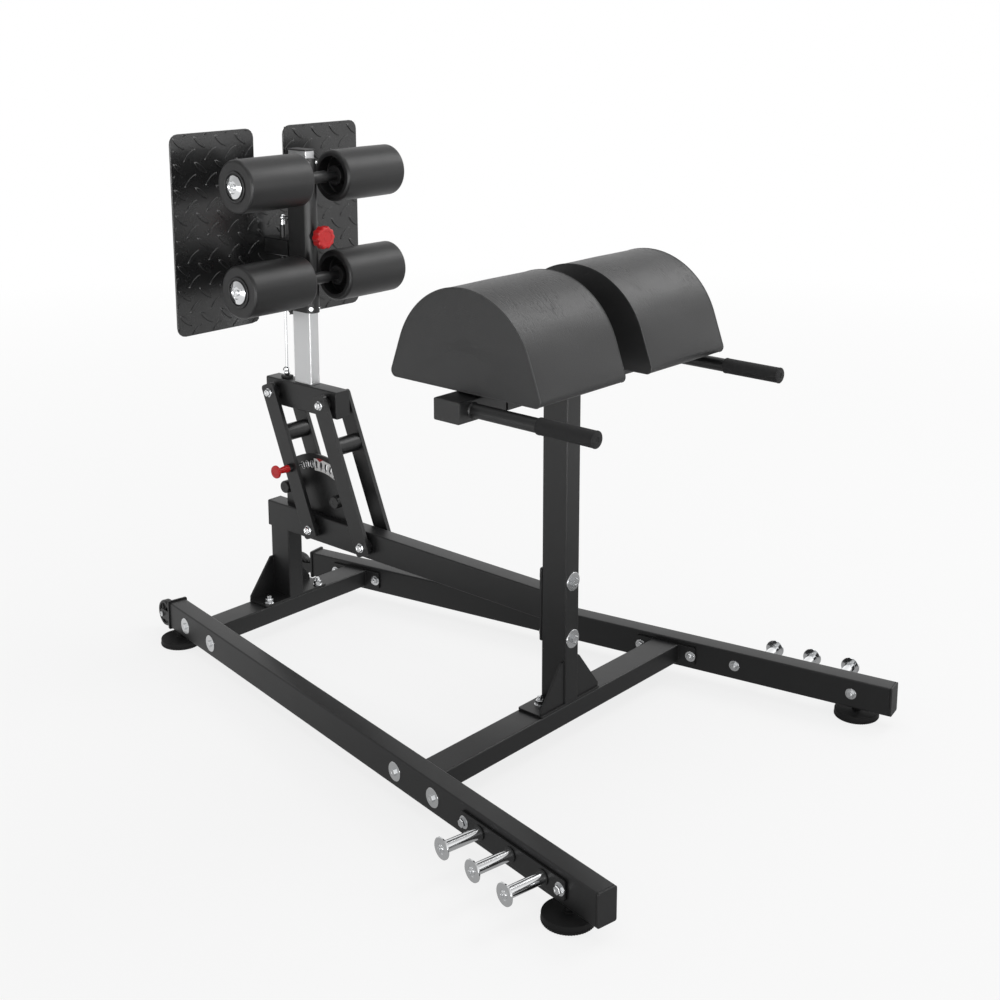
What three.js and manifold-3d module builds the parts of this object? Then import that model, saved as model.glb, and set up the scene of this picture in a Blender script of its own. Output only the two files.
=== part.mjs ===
// Glute ham developer: splayed base rails, a pad mast with half-round thigh pads, and a foot-plate
// head carried on a parallelogram of links. Millimetres, +Z up, +X towards the handles.
// Every X below is measured from the pad mast's centreline until the last group moves the origin
// under the middle of the whole machine.
import * as THREE from "three";
import { mergeVertices } from "three/addons/utils/BufferGeometryUtils.js";
import Module from "manifold-3d";

const wasm = await Module();
wasm.setup();
const { Manifold, Mesh: SolidMesh } = wasm;

// Clearances and drawing steps
const SEAT_GAP = 0.3;
const PIN_CLEARANCE = 0.3;
const SLIDE_CLEARANCE = 0.5;
const OVERRUN = 5;
const MERGE_DISTANCE = 0.0001;
const CORNER_STEPS = 2;
const FINE_STEPS = 24;
const ROUND_STEPS = 18;
const SMALL_STEPS = 12;
const HEX_STEPS = 6;

// Square and flat stock
const TUBE_WIDE = 75;
const TUBE_NARROW = 50;
const TUBE_CORNER = 4;
const PLATE_THICKNESS = 6;
const PLATE_CORNER = 5;

// Base rails, drawn along their own centreline
const RAIL_LENGTH = 1793;
const RAIL_SPLAY = THREE.MathUtils.degToRad(10.284);
const RAIL_REAR_BACK = 1170.5;
const RAIL_REAR_HALF_SPAN = 261.5;
const RAIL_CAP_THICKNESS = 5;
const END_PLATE_MARGIN = 4;

// Levelling feet
const FOOT_RADIUS = 56;
const FOOT_THICKNESS = 18;
const FOOT_BEVEL = 2;
const FOOT_STEM_SHOWN = 15.5;
const FOOT_STEM_RADIUS = 6;
const FOOT_STEM_ENGAGED = 30;
const FOOT_NUT_RADIUS = 11;
const FOOT_NUT_THICKNESS = 6;
const FOOT_OUTSET = 12.6;
const FOOT_FRONT_INSET = 97.7;
const FOOT_REAR_INSET = 38.9;

// Transport wheels behind the rails
const WHEEL_RADIUS = 37;
const WHEEL_WIDTH = 22;
const WHEEL_EDGE = 3;
const WHEEL_HUB_RADIUS = 14;
const WHEEL_HUB_DISH = 2;
const WHEEL_AXLE_RADIUS = 5;
const WHEEL_AXLE_HEIGHT = 52.5;
const WHEEL_AXLE_BACK = 59.5;
const WHEEL_SIDE_GAP = 1;
const LUG_THICKNESS = 4;
const LUG_HEIGHT = 28;
const AXLE_HEAD_RADIUS = 8;
const AXLE_HEAD_THICKNESS = 5;

// Crossmembers and their end flanges
const FLANGE_LENGTH = 170;
const BASE_PLATE_LENGTH = 225;
const GUSSET_HEIGHT = 107;
const GUSSET_REACH = 84;
const GUSSET_FLAT = 9;

// Pad mast, rear upright and spine
const UPRIGHT_HEIGHT = 196.5;
const UPRIGHT_BACK = 1002;
const SPINE_END_OVERHANG = 10;
const SPINE_CAP_THICKNESS = 5;
const MAST_HEIGHT = 776.5;
const SPINE_FLANGE_HEIGHT = 187;
const MAST_BOLT_RADIUS = 6;
const MAST_BOLT_SPACING = 146;
const MAST_WASHER_RADIUS = 23;
const MAST_WASHER_THICKNESS = 3;
const MAST_HEAD_RADIUS = 11;
const MAST_HEAD_THICKNESS = 8;

// Link parallelogram
const LINK_LENGTH = 393.3;
const LINK_LEAN = THREE.MathUtils.degToRad(22.26);
const LINK_REAR_BACK = 852;
const LINK_SPACING = 207;
const LINK_WIDTH = 50;
const LINK_THICKNESS = 12;
const LINK_STANDOFF = 12;
const LINK_CORNER = 10;
const LINK_END_ABOVE = 25;
const LINK_END_BELOW = 24;
const LINK_TIE_RADIUS = 24;
const LINK_TIE_ALONG = 274;
const BOSS_RADIUS = 21;
const PIVOT_RADIUS = 6;
const PIVOT_WASHER_RADIUS = 12.5;
const PIVOT_WASHER_THICKNESS = 2;
const PIVOT_HEAD_RADIUS = 10.5;
const PIVOT_HEAD_THICKNESS = 7;
const BLOCK_REAR_OVERHANG = 37;
const BLOCK_FRONT_OVERHANG = 39;

// Index quadrant, its stops and the pull pin
const QUADRANT_RADIUS = 204.5;
const QUADRANT_THICKNESS = 6;
const QUADRANT_REAR_ANGLE = THREE.MathUtils.degToRad(28);
const QUADRANT_FRONT_ANGLE = THREE.MathUtils.degToRad(-27);
const QUADRANT_REAR_FOOT = 138;
const QUADRANT_REAR_SHOULDER = 42;
const QUADRANT_FRONT_FOOT = 126;
const QUADRANT_FRONT_SHOULDER = 75;
const QUADRANT_ARC_STEPS = 20;
const INDEX_SLOT_WIDTH = 10;
const INDEX_SLOT_LENGTH = 20;
const INDEX_SLOT_CORNER = 4.5;
const INDEX_SLOT_ALONG = 175;
const INDEX_SLOT_STEP = THREE.MathUtils.degToRad(6.2);
const INDEX_SLOT_COUNT = 8;
const STOP_RADIUS = 17.5;
const STOP_REACH = 45;
const STOP_NUT_RADIUS = 9;
const STOP_NUT_THICKNESS = 6;
const STOP_ALONG = 142;
const STOP_ANGLE = THREE.MathUtils.degToRad(45);
const STOP_BOLT_RADIUS = 6;
const PIN_ALONG = 178;
const PIN_RADIUS = 4.5;
const PIN_BARREL_RADIUS = 12;
const PIN_BARREL_LENGTH = 9;
const PIN_NECK_LENGTH = 36;
const PIN_SHOULDER_RADIUS = 10.5;
const PIN_NECK_RADIUS = 8;
const PIN_KNOB_RADIUS = 18;
const PIN_KNOB_LENGTH = 10;
const PIN_KNOB_EDGE = 2;

// Chrome post and the carriage on it
const POST_DEPTH = 68;
const POST_WIDTH = 32;
const POST_CORNER = 3;
const POST_HEIGHT = 634;
const POST_FORWARD = 106;
const POST_CAP_THICKNESS = 4;
const POST_CAP_MARGIN = 2;
const CARRIAGE_REST_HEIGHT = 200;
const CARRIAGE_LENGTH = 415;
const CARRIAGE_REAR_WALL = 3.5;
const CARRIAGE_SIDE_WALL = 4.5;
const CARRIAGE_FRONT_WALL = 11.5;
const CARRIAGE_FRONT_CORNER = 20;
const CARRIAGE_REAR_CORNER = 3;

// Foot plate and its arm
const ARM_RISE = 169.5;
const ARM_HEIGHT = 45;
const ARM_WIDTH = 50;
const FOOT_PLATE_BACK = 131.5;
const FOOT_PLATE_THICKNESS = 5;
const FOOT_PLATE_HALF_WIDTH = 323.5;
const FOOT_PLATE_HEIGHT = 529;
const FOOT_PLATE_DROP = 41;
const FOOT_PLATE_CORNER = 25;
const FOOT_PLATE_INNER_CORNER = 12;
const NOTCH_HALF_WIDTH = 51.8;
const NOTCH_DEPTH = 150;

// Ankle rollers
const ROLLER_RADIUS = 69;
const ROLLER_LENGTH = 213;
const ROLLER_INNER_OFFSET = 57;
const ROLLER_FORWARD = 52;
const ROLLER_UPPER_RISE = 365;
const ROLLER_LOWER_RISE = 96;
const ROLLER_OUTER_ROUND = 14;
const ROLLER_INNER_ROUND = 8;
const ROLLER_RECESS_RADIUS = 55;
const ROLLER_RECESS_DEPTH = 20;
const ROLLER_HUB_RADIUS = 29;
const ROLLER_HUB_INSET = 5;
const ROLLER_RING_RADIUS = 40;
const ROLLER_RING_HEIGHT = 2;
const AXLE_TUBE_RADIUS = 12.5;
const ROLLER_WASHER_RADIUS = 30;
const ROLLER_WASHER_THICKNESS = 3;
const ROLLER_BOLT_HEAD_RADIUS = 12;
const ROLLER_BOLT_HEAD_THICKNESS = 6;
const ROLLER_BOLT_RADIUS = 5;
const ROLLER_BOLT_LENGTH = 30;

// Gas spring behind the post
const SPRING_BACK = 83;
const SPRING_ROD_RADIUS = 4;
const SPRING_BODY_RADIUS = 8;
const SPRING_BODY_RISE = 23;
const SPRING_BODY_LENGTH = 210;
const SPRING_ROD_HIDDEN = 12;
const SPRING_BORE_END = 6;
const SPRING_FERRULE_RADIUS = 5;
const SPRING_FERRULE_LENGTH = 10;
const SPRING_BALL_RADIUS = 9;
const SPRING_STUD_RADIUS = 5;
const SPRING_FOOT_LENGTH = 26;
const SPRING_FOOT_WIDTH = 22;
const SPRING_FOOT_HEIGHT = 8;
const SPRING_BALL_RISE = 15;
const SPRING_ARM_CLEARANCE = 2;

// Star knob on the carriage front
const KNOB_RADIUS = 31;
const KNOB_LOBE_HEIGHT = 2;
const KNOB_LOBE_COUNT = 8;
const KNOB_THICKNESS = 27;
const KNOB_EDGE = 3;
const KNOB_NECK_LENGTH = 20;
const KNOB_NECK_RADIUS = 12;
const KNOB_STEM_RADIUS = 6;
const KNOB_RISE = 209;
const KNOB_OUTLINE_STEPS = 32;

// Pad crossbar, handles and support plates
const CROSSBAR_HALF_LENGTH = 393;
const HANDLE_OFFSET = 348;
const HANDLE_RADIUS = 16;
const HANDLE_LENGTH = 336;
const GRIP_RADIUS = 19;
const GRIP_LENGTH = 151;
const GRIP_END = 4;
const GRIP_VENT_RADIUS = 3;
const PAD_PLATE_THICKNESS = 6;
const PAD_PLATE_REACH = 73.5;
const PAD_PLATE_DROP = 24;
const PAD_PLATE_INNER = 60;
const PAD_PLATE_OUTER = 319;

// Thigh pads
const PAD_HALF_GAP = 47.8;
const PAD_LENGTH = 293.7;
const PAD_HALF_WIDTH = 226;
const PAD_HEIGHT = 230;
const PAD_ARC_RADIUS = 203;
const PAD_CORNER = 15;
const PAD_EDGE = 6;
const PAD_ARC_STEPS = 26;
const PAD_EDGE_STEPS = 2;

// Band pegs on the rails
const PEG_PLATE_LENGTH = 337;
const PEG_PLATE_HEIGHT = 44;
const PEG_PLATE_CENTRE = 258.5;
const PEG_SPACING = 103;
const PEG_RADIUS = 12.5;
const PEG_LENGTH = 98;
const PEG_CAP_RADIUS = 24;
const PEG_CAP_THICKNESS = 4;
const PEG_COLLAR_RADIUS = 15;
const PEG_COLLAR_THICKNESS = 3;
const PEG_HEAD_RADIUS = 8;
const PEG_HEAD_THICKNESS = 3;

// Heights and places worked out from the sizes above
const RAIL_BOTTOM = FOOT_THICKNESS + FOOT_STEM_SHOWN;
const RAIL_MIDDLE = RAIL_BOTTOM + TUBE_WIDE / 2;
const CROSS_TOP = RAIL_MIDDLE + TUBE_NARROW / 2;
const BASE_TOP = CROSS_TOP + PLATE_THICKNESS;
const SPINE_BOTTOM = BASE_TOP + UPRIGHT_HEIGHT;
const SPINE_MIDDLE = SPINE_BOTTOM + TUBE_WIDE / 2;
const SPINE_TOP = SPINE_BOTTOM + TUBE_WIDE;
const MAST_TOP = BASE_TOP + MAST_HEIGHT;
const CROSSBAR_MIDDLE = MAST_TOP + SEAT_GAP + TUBE_NARROW / 2;
const CROSSBAR_TOP = CROSSBAR_MIDDLE + TUBE_NARROW / 2;
const PAD_BOTTOM = CROSSBAR_TOP + PAD_PLATE_THICKNESS + SEAT_GAP;
const LINK_RISE = LINK_LENGTH * Math.cos(LINK_LEAN);
const LINK_SHIFT = LINK_LENGTH * Math.sin(LINK_LEAN);
const REAR_PIVOT_X = -LINK_REAR_BACK;
const FRONT_PIVOT_X = REAR_PIVOT_X + LINK_SPACING;
const BLOCK_MIDDLE = SPINE_MIDDLE + LINK_RISE;
const BLOCK_TOP = BLOCK_MIDDLE + TUBE_WIDE / 2;
const BLOCK_PIVOT_X = REAR_PIVOT_X - LINK_SHIFT;
const POST_X = BLOCK_PIVOT_X + POST_FORWARD;
const CARRIAGE_BOTTOM = BLOCK_TOP + CARRIAGE_REST_HEIGHT;
const CARRIAGE_TOP = CARRIAGE_BOTTOM + CARRIAGE_LENGTH;
const CARRIAGE_MIDDLE = CARRIAGE_BOTTOM + CARRIAGE_LENGTH / 2;
const CARRIAGE_REAR = POST_X - POST_DEPTH / 2 - SLIDE_CLEARANCE - CARRIAGE_REAR_WALL;
const CARRIAGE_FRONT = POST_X + POST_DEPTH / 2 + SLIDE_CLEARANCE + CARRIAGE_FRONT_WALL;
const CARRIAGE_HALF_WIDTH = POST_WIDTH / 2 + SLIDE_CLEARANCE + CARRIAGE_SIDE_WALL;
const ROLLER_X = POST_X + ROLLER_FORWARD;
const FOOT_PLATE_FRONT = POST_X - FOOT_PLATE_BACK;
const ARM_MIDDLE = CARRIAGE_BOTTOM + ARM_RISE;
const SPRING_X = POST_X - SPRING_BACK;
const SPRING_BODY_BOTTOM = CARRIAGE_BOTTOM + SPRING_BODY_RISE;
const SPRING_BODY_TOP = SPRING_BODY_BOTTOM + SPRING_BODY_LENGTH;
const LINK_INNER = TUBE_NARROW / 2 + LINK_STANDOFF;
const LINK_OUTER = LINK_INNER + LINK_THICKNESS;
const RAIL_FRONT_X = RAIL_LENGTH * Math.cos(RAIL_SPLAY) - RAIL_REAR_BACK;
const RAIL_FRONT_Y = RAIL_REAR_HALF_SPAN + RAIL_LENGTH * Math.sin(RAIL_SPLAY);
const LUG_OFFSET = WHEEL_WIDTH / 2 + WHEEL_SIDE_GAP;
const WHEEL_X = -RAIL_LENGTH - PLATE_THICKNESS - WHEEL_AXLE_BACK;
const FRONT_MOST = RAIL_FRONT_X + TUBE_NARROW / 2 * Math.sin(RAIL_SPLAY);
const REAR_MOST = RAIL_FRONT_X + (WHEEL_X - WHEEL_RADIUS) * Math.cos(RAIL_SPLAY)
  - WHEEL_WIDTH / 2 * Math.sin(RAIL_SPLAY);
const ORIGIN_SHIFT = -(FRONT_MOST + REAR_MOST) / 2;

// Finishes
const FINISHES = {
  steel_black: { color: 0x2b2c2d, roughness: 0.55, metalness: 0.3 },
  plate_black: { color: 0x232425, roughness: 0.6, metalness: 0.3 },
  plastic_black: { color: 0x1c1c1d, roughness: 0.65, metalness: 0 },
  rubber_black: { color: 0x1a1a1a, roughness: 0.85, metalness: 0 },
  foam_black: { color: 0x2a2a2a, roughness: 0.8, metalness: 0 },
  vinyl_black: { color: 0x303031, roughness: 0.6, metalness: 0 },
  chrome: { color: 0xd8dadd, roughness: 0.12, metalness: 1 },
  satin_chrome: { color: 0xc4c6c8, roughness: 0.35, metalness: 0.9 },
  zinc: { color: 0xc9cbcd, roughness: 0.3, metalness: 0.9 },
  plastic_red: { color: 0xc4181c, roughness: 0.4, metalness: 0 },
};

const machine = new THREE.Group();
machine.position.x = ORIGIN_SHIFT;

function finish(slot) {
  const material = new THREE.MeshStandardMaterial(FINISHES[slot]);
  material.name = slot;
  return material;
}

// Closed, outward-facing copy of a geometry with shared corners and no slivers of zero size
function tidy(geometry) {
  const bare = new THREE.BufferGeometry();
  bare.setAttribute("position", geometry.getAttribute("position").clone());
  if (geometry.index) bare.setIndex(geometry.index.clone());
  const merged = mergeVertices(bare, MERGE_DISTANCE);
  const source = merged.index.array;
  const place = merged.getAttribute("position");
  const kept = [];
  const a = new THREE.Vector3();
  const b = new THREE.Vector3();
  const c = new THREE.Vector3();
  let volume = 0;
  for (let i = 0; i < source.length; i += 3) {
    const [p, q, r] = [source[i], source[i + 1], source[i + 2]];
    if (p === q || q === r || r === p) continue;
    kept.push(p, q, r);
    a.fromBufferAttribute(place, p);
    b.fromBufferAttribute(place, q);
    c.fromBufferAttribute(place, r);
    volume += a.dot(b.cross(c));
  }
  if (volume < 0) {
    for (let i = 0; i < kept.length; i += 3) {
      [kept[i + 1], kept[i + 2]] = [kept[i + 2], kept[i + 1]];
    }
  }
  merged.setIndex(kept);
  return merged;
}

function toSolid(geometry) {
  const clean = tidy(geometry);
  return new Manifold(new SolidMesh({
    numProp: 3,
    vertProperties: Float32Array.from(clean.getAttribute("position").array),
    triVerts: Uint32Array.from(clean.index.array),
  }));
}

function fromSolid(solid) {
  const mesh = solid.getMesh();
  const geometry = new THREE.BufferGeometry();
  const corners = new THREE.BufferAttribute(Float32Array.from(mesh.vertProperties), mesh.numProp);
  geometry.setAttribute("position", corners);
  geometry.setIndex(Array.from(mesh.triVerts));
  return geometry;
}

function join(...pieces) {
  return fromSolid(Manifold.union(pieces.map(toSolid)));
}

function cut(body, ...tools) {
  return fromSolid(Manifold.difference([body, ...tools].map(toSolid)));
}

function common(body, tool) {
  return fromSolid(Manifold.intersection([toSolid(body), toSolid(tool)]));
}

function add(parent, name, geometry, slot) {
  const flat = tidy(geometry).toNonIndexed();
  flat.computeVertexNormals();
  const mesh = new THREE.Mesh(flat, finish(slot));
  mesh.name = name;
  parent.add(mesh);
  return mesh;
}

function at(geometry, x, y, z) {
  return geometry.clone().translate(x, y, z);
}

// Turns a geometry drawn along +Z so that it runs along the named axis
function along(geometry, axis) {
  const x = new THREE.Vector3(1, 0, 0);
  const y = new THREE.Vector3(0, 1, 0);
  const z = new THREE.Vector3(0, 0, 1);
  const turns = { x: [y, z, x], y: [z, x, y], z: [x, y, z] };
  return geometry.clone().applyMatrix4(new THREE.Matrix4().makeBasis(...turns[axis]));
}

// Closed outline from [x, y, corner radius] points
function outline(points, steps = CORNER_STEPS) {
  const shape = new THREE.Shape();
  const count = points.length;
  const placed = [];
  for (let i = 0; i < count; i += 1) {
    const [x, y, radius = 0] = points[i];
    const here = new THREE.Vector2(x, y);
    if (radius === 0) {
      placed.push(here);
      continue;
    }
    const before = new THREE.Vector2(...points[(i + count - 1) % count].slice(0, 2)).sub(here).normalize();
    const after = new THREE.Vector2(...points[(i + 1) % count].slice(0, 2)).sub(here).normalize();
    const half = Math.acos(THREE.MathUtils.clamp(before.dot(after), -1, 1)) / 2;
    const reach = radius / Math.tan(half);
    const middle = before.clone().add(after).normalize().multiplyScalar(radius / Math.sin(half)).add(here);
    const start = before.clone().multiplyScalar(reach).add(here).sub(middle);
    const end = after.clone().multiplyScalar(reach).add(here).sub(middle);
    const from = start.angle();
    let sweep = end.angle() - from;
    if (sweep > Math.PI) sweep -= 2 * Math.PI;
    if (sweep < -Math.PI) sweep += 2 * Math.PI;
    for (let k = 0; k <= steps; k += 1) {
      const turn = from + sweep * k / steps;
      placed.push(new THREE.Vector2(Math.cos(turn), Math.sin(turn)).multiplyScalar(radius).add(middle));
    }
  }
  shape.setFromPoints(placed);
  return shape;
}

function extrude(shape, depth, extra = {}) {
  const plain = { depth, bevelEnabled: false, curveSegments: SMALL_STEPS };
  return new THREE.ExtrudeGeometry(shape, { ...plain, ...extra });
}

function rectangle(width, height, radius) {
  const x = width / 2;
  const y = height / 2;
  return outline([[-x, -y, radius], [x, -y, radius], [x, y, radius], [-x, y, radius]]);
}

// Rounded bar along an axis, centred: first size is across (X, or Y for a bar along X), second is up
function bar(axis, length, across, up, radius = TUBE_CORNER) {
  const sizes = axis === "y" ? [up, across] : [across, up];
  const shape = rectangle(...sizes, radius);
  return along(at(extrude(shape, length), 0, 0, -length / 2), axis);
}

function rod(axis, length, radius, steps = ROUND_STEPS) {
  const upright = new THREE.CylinderGeometry(radius, radius, length, steps);
  return along(upright.rotateX(Math.PI / 2), axis);
}

// Turned shape about an axis from [radius, along] points
function spun(axis, profile, steps = ROUND_STEPS) {
  const points = profile.map(([radius, reach]) => new THREE.Vector2(radius, reach));
  return along(new THREE.LatheGeometry(points, steps).rotateX(Math.PI / 2), axis);
}

// Bolt along an axis with hex head, washer, shank and a matching nut end, from -half to +half
function throughBolt(axis, half, radius, washerRadius, washerThickness, headRadius, headThickness) {
  const washer = rod(axis, washerThickness, washerRadius);
  const head = rod(axis, headThickness, headRadius, HEX_STEPS);
  const slide = (geometry, reach) => at(geometry, ...(axis === "x" ? [reach, 0, 0] : [0, reach, 0]));
  const seat = half + washerThickness / 2;
  const top = half + washerThickness + headThickness / 2;
  return join(
    rod(axis, 2 * top, radius, SMALL_STEPS),
    slide(washer, seat), slide(washer, -seat), slide(head, top), slide(head, -top));
}

// Base rails, each in a frame at its own front end with +X forward along the rail
const sideGroups = {};
for (const [sideName, side] of [["right", -1], ["left", 1]]) {
  const frame = new THREE.Group();
  frame.position.set(RAIL_FRONT_X, side * RAIL_FRONT_Y, 0);
  frame.rotation.z = side * RAIL_SPLAY;
  machine.add(frame);
  frame.updateMatrix();
  sideGroups[side] = frame;

  const tubeLength = RAIL_LENGTH - RAIL_CAP_THICKNESS - SEAT_GAP;
  const tube = at(bar("x", tubeLength, TUBE_NARROW, TUBE_WIDE),
    -RAIL_CAP_THICKNESS - SEAT_GAP - tubeLength / 2, 0, RAIL_MIDDLE);
  const endPlate = at(bar("x", PLATE_THICKNESS, TUBE_NARROW + 2 * END_PLATE_MARGIN,
    TUBE_WIDE + 2 * END_PLATE_MARGIN), -RAIL_LENGTH - PLATE_THICKNESS / 2, 0, RAIL_MIDDLE);
  const lugStart = -RAIL_LENGTH - PLATE_THICKNESS / 2;
  const lugRound = LUG_HEIGHT / 2;
  const lugOutline = outline([
    [lugStart, WHEEL_AXLE_HEIGHT - lugRound], [lugStart, WHEEL_AXLE_HEIGHT + lugRound],
    [WHEEL_X - lugRound, WHEEL_AXLE_HEIGHT + lugRound, lugRound - OVERRUN],
    [WHEEL_X - lugRound, WHEEL_AXLE_HEIGHT - lugRound, lugRound - OVERRUN]]);
  const lug = extrude(lugOutline, LUG_THICKNESS).rotateX(Math.PI / 2);
  const axleHole = at(rod("y", 2 * (LUG_OFFSET + LUG_THICKNESS + OVERRUN),
    WHEEL_AXLE_RADIUS + PIN_CLEARANCE, SMALL_STEPS), WHEEL_X, 0, WHEEL_AXLE_HEIGHT);
  const stemHoles = [FOOT_FRONT_INSET, RAIL_LENGTH - FOOT_REAR_INSET].map((inset) => at(
    rod("z", FOOT_STEM_ENGAGED + OVERRUN, FOOT_STEM_RADIUS + PIN_CLEARANCE, SMALL_STEPS),
    -inset, side * FOOT_OUTSET, RAIL_BOTTOM + (FOOT_STEM_ENGAGED + OVERRUN) / 2 - OVERRUN
      + SEAT_GAP));
  add(frame, `rail_${sideName}`, cut(
    join(tube, endPlate, at(lug, 0, LUG_OFFSET + LUG_THICKNESS, 0), at(lug, 0, -LUG_OFFSET, 0)),
    axleHole, ...stemHoles), "steel_black");
  add(frame, `rail_cap_${sideName}`,
    at(bar("x", RAIL_CAP_THICKNESS, TUBE_NARROW, TUBE_WIDE), -RAIL_CAP_THICKNESS / 2, 0, RAIL_MIDDLE),
    "plastic_black");

  // Transport wheel and its axle bolt
  const w = WHEEL_WIDTH / 2;
  const bore = WHEEL_AXLE_RADIUS + PIN_CLEARANCE;
  add(frame, `wheel_${sideName}`, at(spun("y", [
    [bore, -w], [WHEEL_HUB_RADIUS, -w], [WHEEL_HUB_RADIUS + WHEEL_HUB_DISH, -w + WHEEL_HUB_DISH],
    [WHEEL_RADIUS - WHEEL_EDGE - WHEEL_HUB_DISH, -w + WHEEL_HUB_DISH],
    [WHEEL_RADIUS - WHEEL_EDGE, -w], [WHEEL_RADIUS, -w + WHEEL_EDGE],
    [WHEEL_RADIUS, w - WHEEL_EDGE], [WHEEL_RADIUS - WHEEL_EDGE, w],
    [WHEEL_RADIUS - WHEEL_EDGE - WHEEL_HUB_DISH, w - WHEEL_HUB_DISH],
    [WHEEL_HUB_RADIUS + WHEEL_HUB_DISH, w - WHEEL_HUB_DISH], [WHEEL_HUB_RADIUS, w], [bore, w],
    [bore, -w]], FINE_STEPS), WHEEL_X, 0, WHEEL_AXLE_HEIGHT), "plastic_black");
  const axleHalf = LUG_OFFSET + LUG_THICKNESS + SEAT_GAP;
  add(frame, `wheel_axle_${sideName}`, at(spun("y", [
    [0, -axleHalf - AXLE_HEAD_THICKNESS], [AXLE_HEAD_RADIUS, -axleHalf - AXLE_HEAD_THICKNESS],
    [AXLE_HEAD_RADIUS, -axleHalf], [WHEEL_AXLE_RADIUS, -axleHalf], [WHEEL_AXLE_RADIUS, axleHalf],
    [AXLE_HEAD_RADIUS, axleHalf], [AXLE_HEAD_RADIUS, axleHalf + AXLE_HEAD_THICKNESS],
    [0, axleHalf + AXLE_HEAD_THICKNESS]], SMALL_STEPS), WHEEL_X, 0, WHEEL_AXLE_HEIGHT), "zinc");

  // Levelling feet
  for (const [endName, inset] of [["front", FOOT_FRONT_INSET], ["rear", RAIL_LENGTH - FOOT_REAR_INSET]]) {
    const stemTop = RAIL_BOTTOM + FOOT_STEM_ENGAGED - SEAT_GAP;
    add(frame, `foot_${endName}_${sideName}`, at(spun("z", [
      [0, 0], [FOOT_RADIUS - FOOT_BEVEL, 0], [FOOT_RADIUS, FOOT_BEVEL],
      [FOOT_RADIUS, FOOT_THICKNESS - FOOT_BEVEL], [FOOT_RADIUS - FOOT_BEVEL, FOOT_THICKNESS],
      [FOOT_NUT_RADIUS, FOOT_THICKNESS], [FOOT_NUT_RADIUS, FOOT_THICKNESS + FOOT_NUT_THICKNESS],
      [FOOT_STEM_RADIUS, FOOT_THICKNESS + FOOT_NUT_THICKNESS], [FOOT_STEM_RADIUS, stemTop],
      [0, stemTop]], FINE_STEPS), -inset, side * FOOT_OUTSET, 0), "rubber_black");
  }

  // Band pegs on their mounting plate
  const face = TUBE_NARROW / 2 + SEAT_GAP;
  add(frame, `peg_plate_${sideName}`, at(bar("y", PLATE_THICKNESS, PEG_PLATE_LENGTH, PEG_PLATE_HEIGHT,
    PLATE_CORNER), -PEG_PLATE_CENTRE, side * (face + PLATE_THICKNESS / 2), RAIL_MIDDLE), "plate_black");
  for (const index of [0, 1, 2]) {
    const peg = spun("y", [
      [0, 0], [PEG_COLLAR_RADIUS, 0], [PEG_COLLAR_RADIUS, PEG_COLLAR_THICKNESS],
      [PEG_RADIUS, PEG_COLLAR_THICKNESS], [PEG_RADIUS, PEG_LENGTH - PEG_CAP_THICKNESS],
      [PEG_CAP_RADIUS, PEG_LENGTH - PEG_CAP_THICKNESS], [PEG_CAP_RADIUS, PEG_LENGTH],
      [PEG_HEAD_RADIUS, PEG_LENGTH], [PEG_HEAD_RADIUS, PEG_LENGTH + PEG_HEAD_THICKNESS],
      [0, PEG_LENGTH + PEG_HEAD_THICKNESS]]);
    const placed = side > 0 ? peg : peg.rotateX(Math.PI);
    add(frame, `band_peg_${sideName}_${index + 1}`, at(placed,
      -PEG_PLATE_CENTRE + (1 - index) * PEG_SPACING,
      side * (face + PLATE_THICKNESS + SEAT_GAP), RAIL_MIDDLE), "chrome");
  }
}

// Crossmembers: a tube between the rails, trimmed to its two slanted end flanges
function crossmember(x) {
  const slope = Math.tan(RAIL_SPLAY);
  const inner = (reach) => RAIL_FRONT_Y - (RAIL_FRONT_X - reach) * slope
    - (TUBE_NARROW / 2 + SEAT_GAP + PLATE_THICKNESS / 2) / Math.cos(RAIL_SPLAY);
  const rear = x - TUBE_WIDE;
  const front = x + TUBE_WIDE;
  const wedge = extrude(outline([[rear, -inner(rear)], [front, -inner(front)],
    [front, inner(front)], [rear, inner(rear)]]), 2 * TUBE_WIDE);
  const long = bar("y", 2 * inner(front) + TUBE_WIDE, TUBE_WIDE, TUBE_NARROW);
  const tube = common(at(long, x, 0, RAIL_MIDDLE), wedge);
  const flanges = [-1, 1].map((side) => at(
    bar("y", PLATE_THICKNESS, FLANGE_LENGTH, TUBE_NARROW, PLATE_CORNER),
    (x - RAIL_FRONT_X) / Math.cos(RAIL_SPLAY) - TUBE_NARROW / 2 * slope,
    -side * (TUBE_NARROW / 2 + SEAT_GAP + PLATE_THICKNESS / 2), RAIL_MIDDLE,
  ).applyMatrix4(sideGroups[side].matrix));
  return join(tube, ...flanges);
}
add(machine, "front_crossmember", crossmember(0), "steel_black");
add(machine, "rear_crossmember", crossmember(-UPRIGHT_BACK), "steel_black");

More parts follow.
